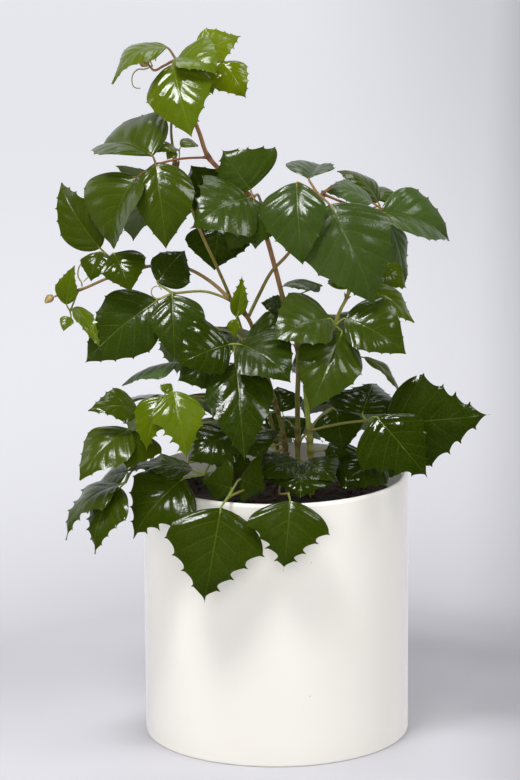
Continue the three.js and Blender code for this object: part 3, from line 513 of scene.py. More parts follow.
def glazed_ceramic():
    """Slip-cast earthenware under a cream glaze: clear gloss, faint waves and a few pin specks."""
    material, tree, shader = new_material("cream_glazed_ceramic")
    spot = node(tree, "TexCoord", {}, "Object")
    cloud = node(tree, "TexNoise", {"Vector": spot, "Scale": 1 / (45 * MM), "Detail": 2.0}, "Fac")
    wave = node(tree, "TexNoise", {"Vector": spot, "Scale": 1 / (16 * MM), "Detail": 1.0}, "Fac")
    # One cell in ten, picked by its colour, has a speck at its middle.
    gap, pick = (node(tree, "TexVoronoi", {"Vector": spot, "Scale": 1 / (11 * MM)}, output)
                 for output in ("Distance", "Color"))
    dot = node(tree, "MapRange", {0: gap, 1: 0.045, 2: 0.03})
    chosen = node(tree, "Math", {0: pick, 1: 0.9}, operation="GREATER_THAN")
    speck = node(tree, "Math", {0: dot, 1: chosen}, operation="MULTIPLY")
    faint = node(tree, "Math", {0: speck, 1: 0.45}, operation="MULTIPLY")
    cream = node(tree, "Mix", {0: cloud, MIX_A: linear("#ECE8E0"), MIX_B: linear("#EFECE5")},
                 MIX_COLOUR, data_type="RGBA")
    spotted = node(tree, "Mix", {0: faint, MIX_A: cream, MIX_B: linear("#8E8474")}, MIX_COLOUR,
                   data_type="RGBA")
    rough = node(tree, "MapRange", {0: cloud, 3: 0.1, 4: 0.2})
    bump = node(tree, "Bump", {"Height": wave, "Strength": 0.2, "Distance": 0.5 * MM}, "Normal")
    feed(tree, shader, {"Base Color": spotted, "Roughness": rough, "Normal": bump, "IOR": 1.52})
    return material


def potting_mix():
    """Damp peat and bark: near black between the crumbs, red-brown where a fibre catches light."""
    material, tree, shader = new_material("damp_potting_mix")
    spot = node(tree, "TexCoord", {}, "Object")
    tone = node(tree, "Attribute", {}, "Fac", attribute_name="tone")
    crumb = node(tree, "TexNoise", {"Vector": spot, "Scale": 1 / (3.5 * MM), "Detail": 6.0,
                                    "Roughness": 0.7}, "Fac")
    dry = node(tree, "Math", {0: tone, 1: 0.5, 2: crumb}, operation="MULTIPLY_ADD")
    share = node(tree, "MapRange", {0: dry, 1: 0.45, 2: 1.1})
    brown = node(tree, "Mix", {0: share, MIX_A: linear("#1A100B"), MIX_B: linear("#5A3A26")},
                 MIX_COLOUR, data_type="RGBA")
    rough = node(tree, "MapRange", {0: crumb, 3: 0.7, 4: 0.95})
    bump = node(tree, "Bump", {"Height": crumb, "Strength": 0.8, "Distance": 0.6 * MM}, "Normal")
    feed(tree, shader, {"Base Color": brown, "Roughness": rough, "Normal": bump})
    return material


# The table's own light is a painted glow, light that the board gives off, in metres from the pot's
# axis. It starts to rise at SWEEP_START and is half way up SWEEP_HALF further on. Where the lamps
# hang over the table it falls to half, from the first to the second of LAMPS_IN_FRONT and of
# LAMPS_BESIDE, and it is back past PAST_LAMPS. Painted shade darkens the table's colour and glow on
# the right across EDGE, a line that drifts aside by EDGE_DRIFT a metre.
SWEEP_START, SWEEP_HALF, SWEEP_END = 0.26, 0.65, 10.0
LAMPS_IN_FRONT = (-0.4, -1.2)
LAMPS_BESIDE = (0.8, 1.8)
PAST_LAMPS = (2.0, 2.8)
EDGE = (0.1, 0.18)
EDGE_DRIFT = 0.068


def matt_table():
    """The pale matt board under the pot: a painted glow sweeps up behind, painted shade dims the right.
    """
    material, tree, shader = new_material("pale_matt_board")
    spot = node(tree, "TexCoord", {}, "Object")
    x, y = (node(tree, "SeparateXYZ", {0: spot}, axis) for axis in ("X", "Y"))
    away = node(tree, "VectorMath", {0: spot}, "Value", operation="LENGTH")
    cloud = node(tree, "TexNoise", {"Vector": spot, "Scale": 1.5, "Detail": 2.0}, "Fac")
    board = node(tree, "Mix", {0: cloud, MIX_A: linear("#BFBEC3"), MIX_B: linear("#C2C1C6")},
                 MIX_COLOUR, data_type="RGBA")
    # Painted shade: the board's colour darkens toward the right, and past EDGE its colour and glow dim
    # further, less so in front.
    right = node(tree, "MapRange", {0: x, 1: 0.0, 2: 0.4}, interpolation_type="SMOOTHSTEP")
    dimmed = node(tree, "Mix", {0: right, MIX_A: board, MIX_B: linear("#A9A8AD")}, MIX_COLOUR,
                  data_type="RGBA")
    aside = node(tree, "Math", {0: y, 1: -EDGE_DRIFT, 2: x}, operation="MULTIPLY_ADD")
    dip = node(tree, "MapRange", {0: y, 1: -0.6, 2: -0.1, 3: 1.0, 4: 0.75},
               interpolation_type="SMOOTHSTEP")
    edge = node(tree, "MapRange", {0: aside, 1: EDGE[0], 2: EDGE[1], 3: 1.0, 4: dip},
                interpolation_type="SMOOTHSTEP")
    shaded = node(tree, "VectorMath", {0: dimmed, "Scale": edge}, operation="SCALE")
    # Painted glow: the board gives off light that rises with distance from the pot, weaker on the right.
    past = node(tree, "MapRange", {0: away, 1: SWEEP_START, 2: SWEEP_END, 3: 0.0,
                                   4: SWEEP_END - SWEEP_START})
    reach = node(tree, "Math", {0: past, 1: SWEEP_HALF}, operation="ADD")
    sweep = node(tree, "Math", {0: past, 1: reach}, operation="DIVIDE")
    glow = node(tree, "MapRange", {0: right, 3: 0.8, 4: 0.6})
    full = node(tree, "Math", {0: sweep, 1: glow}, operation="MULTIPLY")
    front = node(tree, "MapRange", {0: y, 1: LAMPS_IN_FRONT[1], 2: LAMPS_IN_FRONT[0], 3: 0.5},
                 interpolation_type="SMOOTHSTEP")
    beside = node(tree, "Math", {0: x}, operation="ABSOLUTE")
    middle = node(tree, "MapRange", {0: beside, 1: LAMPS_BESIDE[0], 2: LAMPS_BESIDE[1], 3: 1.0, 4: 0.5},
                  interpolation_type="SMOOTHSTEP")
    beyond = node(tree, "MapRange", {0: away, 1: PAST_LAMPS[0], 2: PAST_LAMPS[1]},
                  interpolation_type="SMOOTHSTEP")
    clear = node(tree, "Math", {0: front, 1: middle}, operation="MULTIPLY")
    there = node(tree, "Math", {0: clear, 1: beyond}, operation="MAXIMUM")
    # Painted light: a little more glow just in front of the pot.
    near = node(tree, "MapRange", {0: y, 1: 0.12, 2: -0.02, 3: 0.0, 4: 0.06},
                interpolation_type="SMOOTHSTEP")
    level = node(tree, "Math", {0: full, 1: there, 2: near}, operation="MULTIPLY_ADD")
    lit = node(tree, "Math", {0: level, 1: edge}, operation="MULTIPLY")
    feed(tree, shader, {"Base Color": shaded, "Roughness": 0.6, "Emission Color": linear("#F2F3F8"),
                        "Emission Strength": lit})
    return material


# ---- pot and soil --------------------------------------------------------------------------------
POT_R = 80.0
POT_H = 160.0
POT_WALL = 4.6
POT_BASE = 7.0  # thickness of the pot's floor
FOOT_ROUND = 1.4
INNER_ROUND = 4.0
SOIL_TOP = POT_H - 14.0
SOIL_CROWN = 5.0  # how far the soil is heaped above SOIL_TOP
SOIL_GAP = 0.4  # between the soil and the pot
SOIL_EDGE_BAND = 12.0  # width of the band where the soil falls toward the wall
SOIL_EDGE_FALL = 3.0
SOIL_HEAP_R = 32.0  # where the heap is half as high
SOIL_R = POT_R - POT_WALL - SOIL_GAP
ROUND_SEGMENTS = 192
SOIL_SEGMENTS = 150


def arc(centre, radius, start, end, steps):
    """Points of a round stretch of profile, angles in degrees from the radial direction."""
    turn = np.radians(np.linspace(start, end, steps))
    return [(centre[0] + radius * np.cos(a), centre[1] + radius * np.sin(a)) for a in turn]


def ring_points(radii, segments):
    """The x and y of rings of points, one row a ring."""
    angle = around(segments)
    return np.outer(radii, np.cos(angle)), np.outer(radii, np.sin(angle))


def build_pot():
    inner = POT_R - POT_WALL
    lip = POT_WALL / 2
    profile = [(POT_R - FOOT_ROUND - 20, 0)]
    profile += arc((POT_R - FOOT_ROUND, FOOT_ROUND), FOOT_ROUND, -90, 0, 8)[:-1]
    profile += [(POT_R, z) for z in np.linspace(FOOT_ROUND, POT_H - lip, 12)]
    profile += arc((POT_R - lip, POT_H - lip), lip, 0, 180, 15)[1:-1]
    profile += [(inner, z) for z in np.linspace(POT_H - lip, POT_BASE + INNER_ROUND, 12)]
    profile += arc((inner - INNER_ROUND, POT_BASE + INNER_ROUND), INNER_ROUND, 0, -90, 6)[1:]
    profile += [(20, POT_BASE)]
    rings = np.array(profile)
    x, y = ring_points(rings[:, 0], ROUND_SEGMENTS)
    body = np.stack([x, y, np.repeat(rings[:, 1:], ROUND_SEGMENTS, axis=1)], axis=2).reshape(-1, 3)
    skin = Skin()
    skin.add(np.vstack([body, [[0, 0, 0], [0, 0, POT_BASE]]]), capped_faces(len(rings), ROUND_SEGMENTS))
    skin.piece("pot_piece", [glazed_ceramic()], smooth_to=70)


def soil_height(r):
    """The heap's height, rising from the wall to its crown."""
    return np.interp(r, [0, SOIL_HEAP_R, SOIL_R - SOIL_EDGE_BAND, SOIL_R],
                     [SOIL_TOP + SOIL_CROWN - 0.4, SOIL_TOP + SOIL_CROWN / 2, SOIL_TOP,
                      SOIL_TOP - SOIL_EDGE_FALL])


CRUMBS = 520
CRUMB_SIZES = (0.7, 2.6)


def build_soil():
    rng = np.random.default_rng(SEED)
    radii = np.concatenate([np.linspace(2, SOIL_R - 1.2, 46), [SOIL_R]])
    x, y = ring_points(radii, SOIL_SEGMENTS)
    rough = np.array([noise.fractal(Vector((a * 0.16, b * 0.16, 3.0)), 0.9, 2.0, 5)
                      for a, b in zip(x.ravel(), y.ravel())]).reshape(x.shape)
    out = np.hypot(x, y)
    top = soil_height(out) + 1.3 * rough * (1 - 0.7 * ease(out / SOIL_R * 4 - 3))
    top[-1] = top[-1].mean()
    floor = POT_BASE + SOIL_GAP
    x, y = (np.vstack([side, side[-1], side[-1] * 0.94]) for side in (x, y))
    z = np.vstack([top, np.full_like(top[:1], floor + INNER_ROUND), np.full_like(top[:1], floor)])
    body = np.stack([x, y, z], axis=2).reshape(-1, 3)
    # These rings run from the crown outward and down, so their faces are turned round to look out.
    faces = [face[::-1] for face in capped_faces(len(z), SOIL_SEGMENTS)]
    skin = Skin()
    skin.add(np.vstack([body, [[0, 0, top[0].mean()], [0, 0, floor]]]), faces, tone=0.0)
    ball = bmesh.new()
    bmesh.ops.create_icosphere(ball, subdivisions=2, radius=1.0)
    shell = np.array([v.co for v in ball.verts])
    shell_faces = [[v.index for v in f.verts] for f in ball.faces]
    ball.free()
    for _ in range(CRUMBS):
        size = rng.uniform(*CRUMB_SIZES)
        r = (SOIL_R - size - 1.0) * np.sqrt(rng.uniform())
        turn = rng.uniform(0, 2 * np.pi)
        stretch = rng.uniform([0.6, 0.5, 0.35], [1.6, 1.0, 0.8])
        knobs = shell * (1 + rng.uniform(-0.22, 0.22, (len(shell), 1))) * stretch * size * 0.75
        spin = np.array(Matrix.Rotation(rng.uniform(0, 6.28), 3, Vector(rng.normal(size=3))))
        spot = [r * np.cos(turn), r * np.sin(turn), soil_height(r) + 0.15 * size]
        skin.add(knobs @ spin.T + spot, shell_faces, tone=rng.uniform(-0.3, 1.0))
    skin.piece("soil_piece", [potting_mix()], smooth_to=60)


# ---- vines ---------------------------------------------------------------------------------------
VINE_RINGS = 1.1  # mm from one ring of points to the next
VINE_SIDES = 16
VINE_SHARE = 0.95  # a vine's thickness between its knots, as a share of the layout's
BURIED = 22.0  # mm under the heap's top where a vine starts
KNOT_LENGTH = 2.6  # mm from a knot's middle to where its swelling fades
STIPULE_VINE_R = 0.75  # mm, the thinnest stretch of vine that bears stipules
# Where each vine starts to flush red and where it is reddest, in mm of height, and how red it gets.
FLUSHED = {
    "crown_vine": (264, 284, 0.9), "left_vine": (220, 250, 0.5), "olive_vine": (200, 350, 0.25),
    "right_vine": (250, 330, 0.6), "green_stem": (235, 265, 0.4),
}


def vine_curves():
    """Each vine's fine centreline with its radius along it."""
    curves = {}
    for name, rows in VINES.items():
        points = np.array([place(row) for row in rows])
        if rows[0][2] < POT_H:
            points[0, 2] = SOIL_TOP + SOIL_CROWN - BURIED
        spots, order = smooth_curve(points, VINE_RINGS)
        curves[name] = (spots, np.interp(order, range(len(rows)), [row[3] for row in rows]))
    return curves


def nearest_on_vines(curves, point):
    """The vine that a petiole springs from: its name, ring, centre and radius."""
    found = []
    for name, (spots, _) in curves.items():
        gap = np.linalg.norm(spots - point, axis=1)
        k = int(gap.argmin())
        found.append((gap[k], name, k))
    _, name, k = min(found)
    spots, radii = curves[name]
    return name, k, spots[k], radii[k]


def stipule(skin, base, direction, out, length):
    """A small brown scale that hugs the knot."""
    tip = base + length * unit(0.8 * direction + 0.6 * out)
    spots, order = smooth_curve([base, base + 0.45 * length * unit(direction + 0.5 * out), tip], 0.5)
    radii = np.interp(order, [0, 0.7, 2], [0.55, 0.75, 0.08])
    tube(skin, spots, radii, 6, flatten=0.45, age=0.8, knot=0.7)


def build_vines(curves, knots):
    barks = {
        "bark": stalk_skin("smooth_brown_bark", "#6C6A2A", "#946848", "#4A301C"),
        "green_bark": stalk_skin("smooth_green_bark", "#7F8A36", "#8C8238", "#5A3A22"),
    }
    for index, (name, (spots, radii)) in enumerate(curves.items()):
        rng = np.random.default_rng(SEED + index)
        skin = Skin()
        slot = "green_bark" if name == "green_stem" else "bark"
        run = np.arange(len(spots)) * VINE_RINGS
        swell = np.zeros(len(spots))
        for k, _ in knots[name]:
            swell = np.maximum(swell, np.exp(-((run - run[k]) / KNOT_LENGTH) ** 2))
        wander = np.array([noise.noise(Vector((s * 0.05, index * 5.0, 0))) for s in run])
        thick = VINE_SHARE * radii * (1 + 0.3 * swell + 0.06 * wander)
        low, high, most = FLUSHED[name]
        reddish = most * ease((spots[:, 2] - low) / (high - low))
        tube(skin, spots, thick, VINE_SIDES, ribs=0.05, age=reddish,
             knot=0.75 * swell ** 2 + 0.25 * (wander > 0.35))
        _, _, tangent = ring_frames(spots)
        for k, out in knots[name]:
            if radii[k] < STIPULE_VINE_R:
                continue
            for way in (1, -1):
                aside = unit(np.cross(tangent[k], out)) * way
                base = spots[k] + 0.85 * radii[k] * aside
                stipule(skin, base, tangent[k], aside, rng.uniform(2.2, 3.6))
        skin.piece(name + "_piece", [barks[slot]], smooth_to=75)


# ---- leaves --------------------------------------------------------------------------------------
# Side veins: where each leaves the midrib and where it meets the margin, as shares of the length.
# The first runs to the shoulder, the others end in the teeth.
VEIN_FOOT = [0, 0.03, 0.13, 0.28, 0.44, 0.61, 0.78, 1]
VEIN_END = [0, 0.24, 0.40, 0.57, 0.71, 0.84, 0.94, 1]
FIRST_TOOTH = 2
LAST_TOOTH = 5
SCALLOPS = [0.14, 0.15, 0.12, 0.09, 0.05]  # how deep the margin dips after each tooth
BRISTLE = 1.3  # mm that a tooth's bristle stands out
# How strongly each leaf is toothed, from 0, nearly whole, to 1, as scalloped as holly; PLAIN_TOOTHED
# where it isn't named.
TOOTHED = {
    "front_rim_leaf": 1.0, "front_rim_right_leaf": 0.85, "rim_inner_leaf": 0.8, "left_rim_leaf": 0.9,
    "low_right_leaf": 0.75, "low_left_young_leaf": 0.8, "crown_leaf": 0.45, "crown_young_leaf": 0.6,
    "mid_left_leaf": 0.4, "upper_left_leaf": 0.25, "right_leaf": 0.3, "left_leaf": 0.45,
    "centre_top_leaf": 0.6, "low_left_leaf": 0.5, "far_right_leaf": 0.5, "left_young_leaf": 0.6,
    "young_centre_leaf": 0.8,
}
PLAIN_TOOTHED = 0.35
# How much each leaf is dulled by the wax on its skin and paled by painted grey-green sheen; 0
# where it isn't named.
WAX_AND_SHEEN = {
    "upper_right_leaf": 1.0, "far_right_leaf": 1.8, "centre_top_leaf": 0.5, "upper_left_leaf": 0.25,
    "right_leaf": 0.35, "silver_leaf": 2.4, "grey_leaf": 2.0, "crown_leaf": 0.3, "mid_left_leaf": 0.2,
}
BETWEEN = [0, 0.07, 0.2, 0.36, 0.5, 0.64, 0.8, 0.93]  # rows from one vein to the next
ACROSS = np.array([0, 0.03, 0.07, 0.14, 0.24, 0.36, 0.5, 0.64, 0.78, 0.9, 1])
STEPS = np.array([k + b for k in range(len(VEIN_FOOT) - 1) for b in BETWEEN] + [len(VEIN_FOOT) - 1])
SHOULDER = {0: 0.62, 1: 0.48, -1: 0.80}  # terminal wedge, broad side, narrow side
LEAN = 0.14  # a side leaflet's broad half is this much wider than half, its narrow half less
FULL_BLADE = 45  # mm, the length of a blade whose veins and quilting are full size
BLADE_HALF = 0.17  # mm, half the blade's thickness at the midrib
QUILT = 0.5  # mm that the blade bulges up between two side veins
RUMPLE = 0.55  # mm that it buckles here and there
RUMPLE_SPAN = 8.5  # mm from one buckle to the next
RIPPLE = 0.9  # mm that its margin waves up and down
VEIN_STRAY = 0.018  # how far a vein's end strays from VEIN_END at most
BRISTLE_START = 0.86  # where on the way to the margin a bristle starts
MIDRIB_HALF, MIDRIB_THINS = 0.56, 0.42  # mm, half its width at the foot, and how much less at the tip
VEIN_HALF, VEIN_THINS = 0.36, 0.22  # mm, the same for a side vein, from the midrib to the margin


def half_width(b, ends, lean, toothed):
    """Half the blade's width at b along it, as a share of the width at the first tooth."""
    widest = ends[FIRST_TOOTH]
    rise = np.sin(np.pi / 2 * np.clip(b / widest, 0, 1) ** SHOULDER[lean])
    beyond = np.clip((b - widest) / (1 - widest), 0, 1)
    fall = (1 - beyond ** (1.9 - 0.85 * toothed)) ** 1.12
    half = np.where(b < widest, rise, fall)
    stops = list(ends[FIRST_TOOTH:LAST_TOOTH + 1]) + [1.0]
    for a, c, dip in zip(stops[:-1], stops[1:], SCALLOPS):
        p = np.clip((b - a) / (c - a), 0, 1)
        half = half - toothed * dip * 4 * p * (1 - p)
    return np.maximum(half, 0.004) * (1 + LEAN * lean)


def half_blade(way, lean, width, length, fold, size, droop, drift, toothed, rng):
    """One half: its points' rise, place across, place along and share of the way to the margin."""
    shift = rng.uniform(-VEIN_STRAY, VEIN_STRAY, len(VEIN_END))
    shift[[0, 1, -1]] = 0
    ends = np.array(VEIN_END) + shift
    end = np.interp(STEPS, range(len(ends)), ends)
    foot = np.interp(STEPS, range(len(VEIN_FOOT)), VEIN_FOOT)
    teeth = np.clip(toothed * rng.uniform(0.6, 1.4), 0, 1.1)
    half = half_width(end, ends, lean * way, teeth) * width / 2
    spike = np.zeros(len(STEPS))
    for k in range(FIRST_TOOTH, LAST_TOOTH + 1):
        spike[k * len(BETWEEN)] = BRISTLE * size * (0.35 + 0.65 * teeth) * rng.uniform(0.7, 1.2)
    phase, waves = rng.uniform(0, 1), rng.uniform(1.2, 2.2)
    v = (ACROSS[::-1] if way < 0 else ACROSS[1:])[None, :]
    spiked = spike[:, None] * ease((v - BRISTLE_START) / (1 - BRISTLE_START))
    y = way * (v * half[:, None] + spiked)
    u = foot[:, None] + (end - foot)[:, None] * v ** 1.2 + spiked * 0.5 / length
    ripple = size * RIPPLE * v ** 2 * np.sin(2 * np.pi * (waves * u + phase))
    sag = -droop * half[:, None] * v ** 2
    quilt = np.sin(np.pi * (STEPS % 1))[:, None] ** 1.7 * ease((np.abs(y) - 0.8) / (6 * size))
    quilt = quilt * (1 - 0.6 * ease((v - 0.6) / 0.4)) * QUILT * size
    rumple = np.array([noise.noise(Vector((a * length / RUMPLE_SPAN, b / RUMPLE_SPAN, way * drift)))
                       for a, b in zip(u.ravel(), y.ravel())]).reshape(u.shape)
    rumple = rumple * RUMPLE * size * ease(np.abs(y) / 3)
    lift = np.abs(y) * np.sin(fold) + sag + ripple + quilt + rumple
    return lift, y * np.cos(fold), u, np.broadcast_to(v, u.shape)


def blade(skin, row, terminal_tip, youth, toothed, bloom, rng):
    """One leaflet: quilted between its veins, toothed, arching to a drawn-out tip."""
    base, tip = place(row[0:3]), place(row[3:6])
    width, azimuth, elevation, arch, fold = row[6:11]
    azimuth, elevation, fold = np.radians([azimuth, elevation, fold])
    facing = np.array([np.sin(azimuth) * np.cos(elevation), -np.cos(azimuth) * np.cos(elevation),
                       np.sin(elevation)])
    chord = tip - base
    length = np.linalg.norm(chord)
    along = chord / length
    normal = unit(facing - (facing @ along) * along)
    side = np.cross(along, normal)
    lean = 0
    if terminal_tip is not None:
        lean = -1 if side @ (terminal_tip - tip) > 0 else 1
    size = np.clip(length / FULL_BLADE, 0.25, 1.1)
    twist = np.radians(rng.uniform(-7, 7))
    nod = rng.uniform(0.02, 0.05)
    droop = rng.uniform(0.16, 0.26)
    drift = rng.uniform(5, 500)
    halves = [half_blade(way, lean, width, length, fold, size, droop, drift, toothed, rng)
              for way in (-1, 1)]
    lift, y, u, v = (np.concatenate(pair, axis=1) for pair in zip(*halves))

    def spine(u):
        bow = 4 * arch * u * (1 - u) - nod * ease((u - 0.62) / 0.38) ** 2
        return base + u[..., None] * chord + (bow * length)[..., None] * normal

    up = np.cross(side, unit(spine(u + 0.01) - spine(u - 0.01)))
    turn = (twist * (u - 0.25))[..., None]
    right = side * np.cos(turn) + up * np.sin(turn)
    up = up * np.cos(turn) - side * np.sin(turn)
    sheet = spine(u) + right * y[..., None] + up * lift[..., None]
    # Distance to the midrib and to the nearest side vein, in half widths of the vein.
    nearest = np.clip(np.round(STEPS), 1, len(VEIN_FOOT) - 2).astype(int) * len(BETWEEN)
    vein = np.linalg.norm(sheet - sheet[nearest], axis=2) / (size * (VEIN_HALF - VEIN_THINS * v))
    midrib = np.abs(y) / (size * (MIDRIB_HALF - MIDRIB_THINS * u))
    # On top the veins are sunk, underneath they stand out, in mm.
    groove = 0.2 * np.exp(-midrib ** 2) + 0.05 * np.exp(-vein ** 2) * (1 - 0.5 * v)
    rib = (0.6 - 0.45 * u) * np.exp(-midrib ** 2) + 0.24 * np.exp(-vein ** 2) * (1 - 0.6 * v)
    thick = BLADE_HALF * (1 - 0.65 * v ** 3)
    top = sheet + up * (thick - size * groove)[..., None]
    under = sheet - up * (thick + size * rib)[..., None]
    rows, count = y.shape
    n = rows * count
    faces = grid_faces(rows, count) + grid_faces(rows, count, first=n, flip=True)
    rim = [i * count for i in range(rows)] + [(rows - 1) * count + j for j in range(1, count)]
    rim += [i * count + count - 1 for i in range(rows - 2, -1, -1)] + list(range(count - 2, 0, -1))
    faces += [[a, b, b + n, a + n] for a, b in zip(rim, rim[1:] + rim[:1])]
    skin.add(np.vstack([top.reshape(-1, 3), under.reshape(-1, 3)]), faces, youth=youth,
             tone=rng.uniform(-0.3, 0.3), bloom=bloom, under=np.repeat([0.0, 1.0], n),
             vein=np.tile(vein.ravel(), 2), midrib=np.tile(midrib.ravel(), 2))
    return spine, up[0, count // 2]


PETIOLE_R = 0.72  # mm, on a leaf of full size, as STALK_R is
STALK_R = 0.62
PETIOLE_SIDES = 10


def build_leaf(index, name, curves, knots, materials):
    youth, petiole, hub, leaflets = LEAVES[name]
    rng = np.random.default_rng(SEED * 100 + index)
    middle = place(hub)
    way = [place(p) for p in petiole]
    vine, k, centre, radius = nearest_on_vines(curves, way[0])
    out = unit((way[1] if len(way) > 1 else middle) - centre)
    knots[vine].append((k, out))
    way[0] = centre + 0.7 * radius * out
    spots, _ = smooth_curve([*way, middle], 1.2)
    run = run_along(spots)
    left = run[-1] - run
    terminal_tip = place(leaflets[0][3:6])
    size = np.clip(np.linalg.norm(terminal_tip - place(leaflets[0][:3])) / FULL_BLADE, 0.45, 1.1)
    radii = size * PETIOLE_R * (1 + 0.55 * np.exp(-(run / 2.2) ** 2) + 0.45 * np.exp(-(left / 1.6) ** 2))
    skin = Skin()
    flush = 0.25 + 0.65 * ease((middle[2] - 270) / 70)
    tube(skin, spots, radii, PETIOLE_SIDES, slot=1, age=flush,
         knot=0.5 * np.exp(-(run / 2.0) ** 2) + 0.35 * np.exp(-(left / 1.5) ** 2))
    for row in leaflets:
        spine, up = blade(skin, row, None if row is leaflets[0] else terminal_tip, youth,
                          TOOTHED.get(name, PLAIN_TOOTHED), WAX_AND_SHEEN.get(name, 0.0), rng)
        start = spine(np.array([0.0, 0.06, 0.14])) - np.outer([0.1, 0.45, 0.6], up)
        spots, order = smooth_curve([middle, *start], 0.9)
        radii = size * STALK_R * np.interp(order, [0, 1, 2, 3], [1.2, 0.9, 0.7, 0.35])
        tube(skin, spots, radii, PETIOLE_SIDES, slot=1, age=flush - 0.2, knot=0.0)
    slot = "young_leaf" if youth >= 0.5 else "old_leaf"
    skin.piece(name + "_piece", [materials[slot], materials["stalk"]], smooth_to=60)


def build_leaves(curves, knots):
    # The first colour of each leaf material, the flesh at youth 0, is dark partly as painted shade for
    # shaded leaves.
    materials = {
        "old_leaf": cuticle_leaf("waxy_old_leaf", "#223002", "#505F02", "#687626", "#5E6E3A"),
        "young_leaf": cuticle_leaf("soft_young_leaf", "#344A02", "#576503", "#84902C", "#7A863C"),
        "stalk": stalk_skin("flushed_petiole", "#76863A", "#8A5238", "#54301E"),
    }
    for index, name in enumerate(LEAVES):
        build_leaf(index, name, curves, knots, materials)


# ---- tendrils and buds ---------------------------------------------------------------------------
TENDRIL_R = 0.45  # mm


def build_tendrils():
    wiry = stalk_skin("wiry_tendril", "#A2A062", "#8E7448", "#5E4A2C")
    for name, rows in TENDRILS.items():
        skin = Skin()
        spots, order = smooth_curve([place(row) for row in rows], 0.5)
        share = order / (len(rows) - 1)
        tube(skin, spots, TENDRIL_R * (1.1 - 0.5 * share), 8, age=share, knot=0.0)
        skin.piece(name + "_piece", [wiry])


def build_buds():
    downy = stalk_skin("downy_bud_scale", "#A89A62", "#8C6A44", "#5C3C24")
    for index, (name, (base, tip, radius)) in enumerate(BUDS.items()):
        rng = np.random.default_rng(SEED * 7 + index)
        base, tip = place(base), place(tip)
        skin = Skin()
        spots, order = smooth_curve([base, (base + tip) / 2, tip], 0.35)
        radii = radius * np.interp(order, [0, 0.35, 0.9, 1.5, 2], [0.35, 0.8, 0.85, 0.5, 0.08])
        tube(skin, spots, radii, 14, ribs=0.08, age=0.3, knot=0.0)
        across, over, _ = ring_frames(spots)
        for turn in np.radians([20, 140, 260]):
            out = across[0] * np.cos(turn) + over[0] * np.sin(turn)
            start = base + 0.3 * radius * out
            bulge = base + 0.4 * (tip - base) + 0.85 * radius * out
            end = base + rng.uniform(0.85, 1.0) * (tip - base) + 0.35 * radius * out
            path, rank = smooth_curve([start, bulge, end], 0.4)
            wide = radius * np.interp(rank, [0, 1, 2], [0.35, 0.5, 0.06])
            tube(skin, path, wide, 8, flatten=0.7, age=rng.uniform(0.3, 0.9), knot=0.1)
        skin.piece(name + "_piece", [downy])


# ---- floor, lights and camera --------------------------------------------------------------------
FLOOR_R = 14.0  # metres
FOCAL_PX = 3450.0  # focal length in the frame's own pixels
FRAME_LONG_PX = 780
SENSOR_MM = 36.0
CAMERA_SPOT = Vector((0.0, -2.020, 0.660))
CAMERA_DOWN, CAMERA_ROLL, CAMERA_TURN = 12.54, -0.40, -0.2565  # degrees


def build_floor():
    data = bpy.data.meshes.new("floor")
    ring = [(FLOOR_R * math.cos(a), FLOOR_R * math.sin(a), 0) for a in around(64)]
    data.from_pydata(ring, [], [list(range(len(ring)))])
    data.materials.append(matt_table())
    floor = bpy.data.objects.new("floor", data)
    bpy.context.scene.collection.objects.link(floor)
    floor.visible_glossy = False


def softbox(name, azimuth, elevation, distance, width, height, radiance, shines=True):
    """A soft rectangular lamp aimed at the plant; azimuth 0 is in front, 90 to the right.

    Lengths are in metres and radiance in W per square metre and steradian. A lamp that doesn't shine
    lights surfaces but isn't mirrored in them.
    """
    a, e = math.radians(azimuth), math.radians(elevation)
    aim = Vector((0, 0, 0.2))
    back = Vector((math.sin(a) * math.cos(e), -math.cos(a) * math.cos(e), math.sin(e)))
    lamp = bpy.data.lights.new(name, "AREA")
    lamp.shape = "RECTANGLE"
    lamp.size, lamp.size_y = width, height
    lamp.energy = radiance * math.pi * width * height
    made = bpy.data.objects.new(name, lamp)
    made.location = aim + back * distance
    made.rotation_euler = back.to_track_quat("Z", "Y").to_euler()
    made.visible_camera = False
    made.visible_glossy = shines
    bpy.context.scene.collection.objects.link(made)


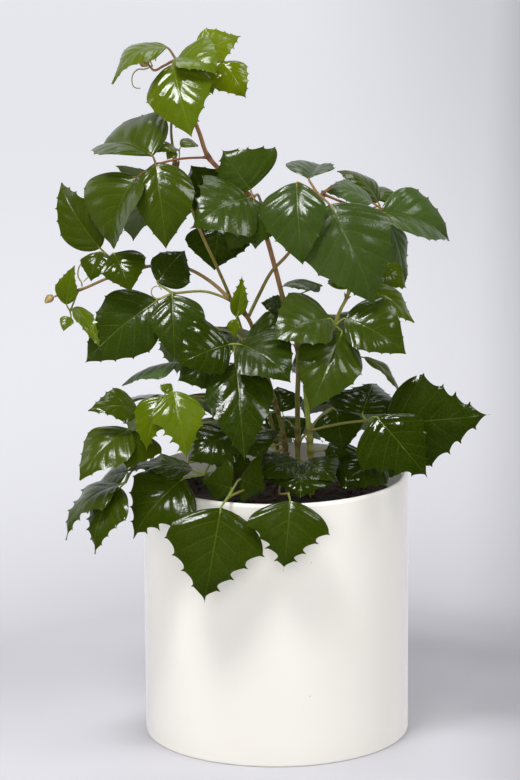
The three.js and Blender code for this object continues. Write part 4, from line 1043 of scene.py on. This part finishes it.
def build_world():
    """Pale all round to the eye; as light, strongest low behind the pot and faint elsewhere."""
    world = bpy.data.worlds.new("studio")
    world.use_nodes = True
    tree = world.node_tree
    aim = node(tree, "TexCoord", {}, "Generated")
    x, y, z = (node(tree, "SeparateXYZ", {0: aim}, axis) for axis in ("X", "Y", "Z"))
    behind = node(tree, "MapRange", {0: y, 1: 0.0, 2: 0.7, 3: 0.0, 4: 0.8},
                  interpolation_type="SMOOTHSTEP")
    low = node(tree, "MapRange", {0: z, 1: 0.95, 2: 0.6, 3: 0.03, 4: 1.0},
               interpolation_type="SMOOTHSTEP")
    light = node(tree, "Math", {0: behind, 1: low, 2: 0.02}, operation="MULTIPLY_ADD")
    look = node(tree, "MapRange", {0: x, 1: -0.13, 2: 0.13, 3: 0.85, 4: 0.68},
                interpolation_type="SMOOTHSTEP")
    seen = node(tree, "LightPath", {}, "Is Camera Ray")
    level = node(tree, "Mix", {0: seen, 2: light, 3: look}, data_type="FLOAT")
    feed(tree, tree.nodes["Background"], {"Color": linear("#F6F7FF"), "Strength": level})
    bpy.context.scene.world = world


def build_studio():
    build_floor()
    softbox("key_softbox", -30, 62, 1.9, 0.5, 0.5, 34.0)
    softbox("fill_softbox", 60, 50, 2.0, 0.5, 0.5, 9.0)
    softbox("side_softbox", -95, 25, 2.2, 0.6, 1.2, 3.0)
    softbox("top_softbox", 180, 70, 1.9, 0.7, 0.7, 4.5)
    softbox("front_bounce", -4, 18, 2.6, 1.8, 1.2, 4.8, shines=False)
    softbox("left_bounce", -75, 10, 2.2, 1.2, 1.2, 1.6, shines=False)
    softbox("right_bounce", 75, 10, 2.2, 1.2, 1.2, 2.8, shines=False)
    build_world()


def build_camera():
    down, roll, turn = (math.radians(x) for x in (CAMERA_DOWN, CAMERA_ROLL, CAMERA_TURN))
    ahead = Vector((math.sin(turn) * math.cos(down), math.cos(turn) * math.cos(down), -math.sin(down)))
    right = Vector((math.cos(turn), -math.sin(turn), 0))
    up = right.cross(ahead)
    level_right = math.cos(roll) * right + math.sin(roll) * up
    level_up = -math.sin(roll) * right + math.cos(roll) * up
    data = bpy.data.cameras.new("camera")
    data.sensor_width = SENSOR_MM
    data.lens = SENSOR_MM * FOCAL_PX / FRAME_LONG_PX
    camera = bpy.data.objects.new("camera", data)
    turned = Matrix((level_right, level_up, -ahead)).transposed().to_4x4()
    camera.matrix_world = Matrix.Translation(CAMERA_SPOT) @ turned
    bpy.context.scene.collection.objects.link(camera)
    bpy.context.scene.camera = camera


build_camera()
build_studio()
build_pot()
build_soil()
centrelines = vine_curves()
petiole_knots = {name: [] for name in VINES}
build_leaves(centrelines, petiole_knots)
build_vines(centrelines, petiole_knots)
build_tendrils()
build_buds()
bpy.context.scene.view_settings.view_transform = "Standard"
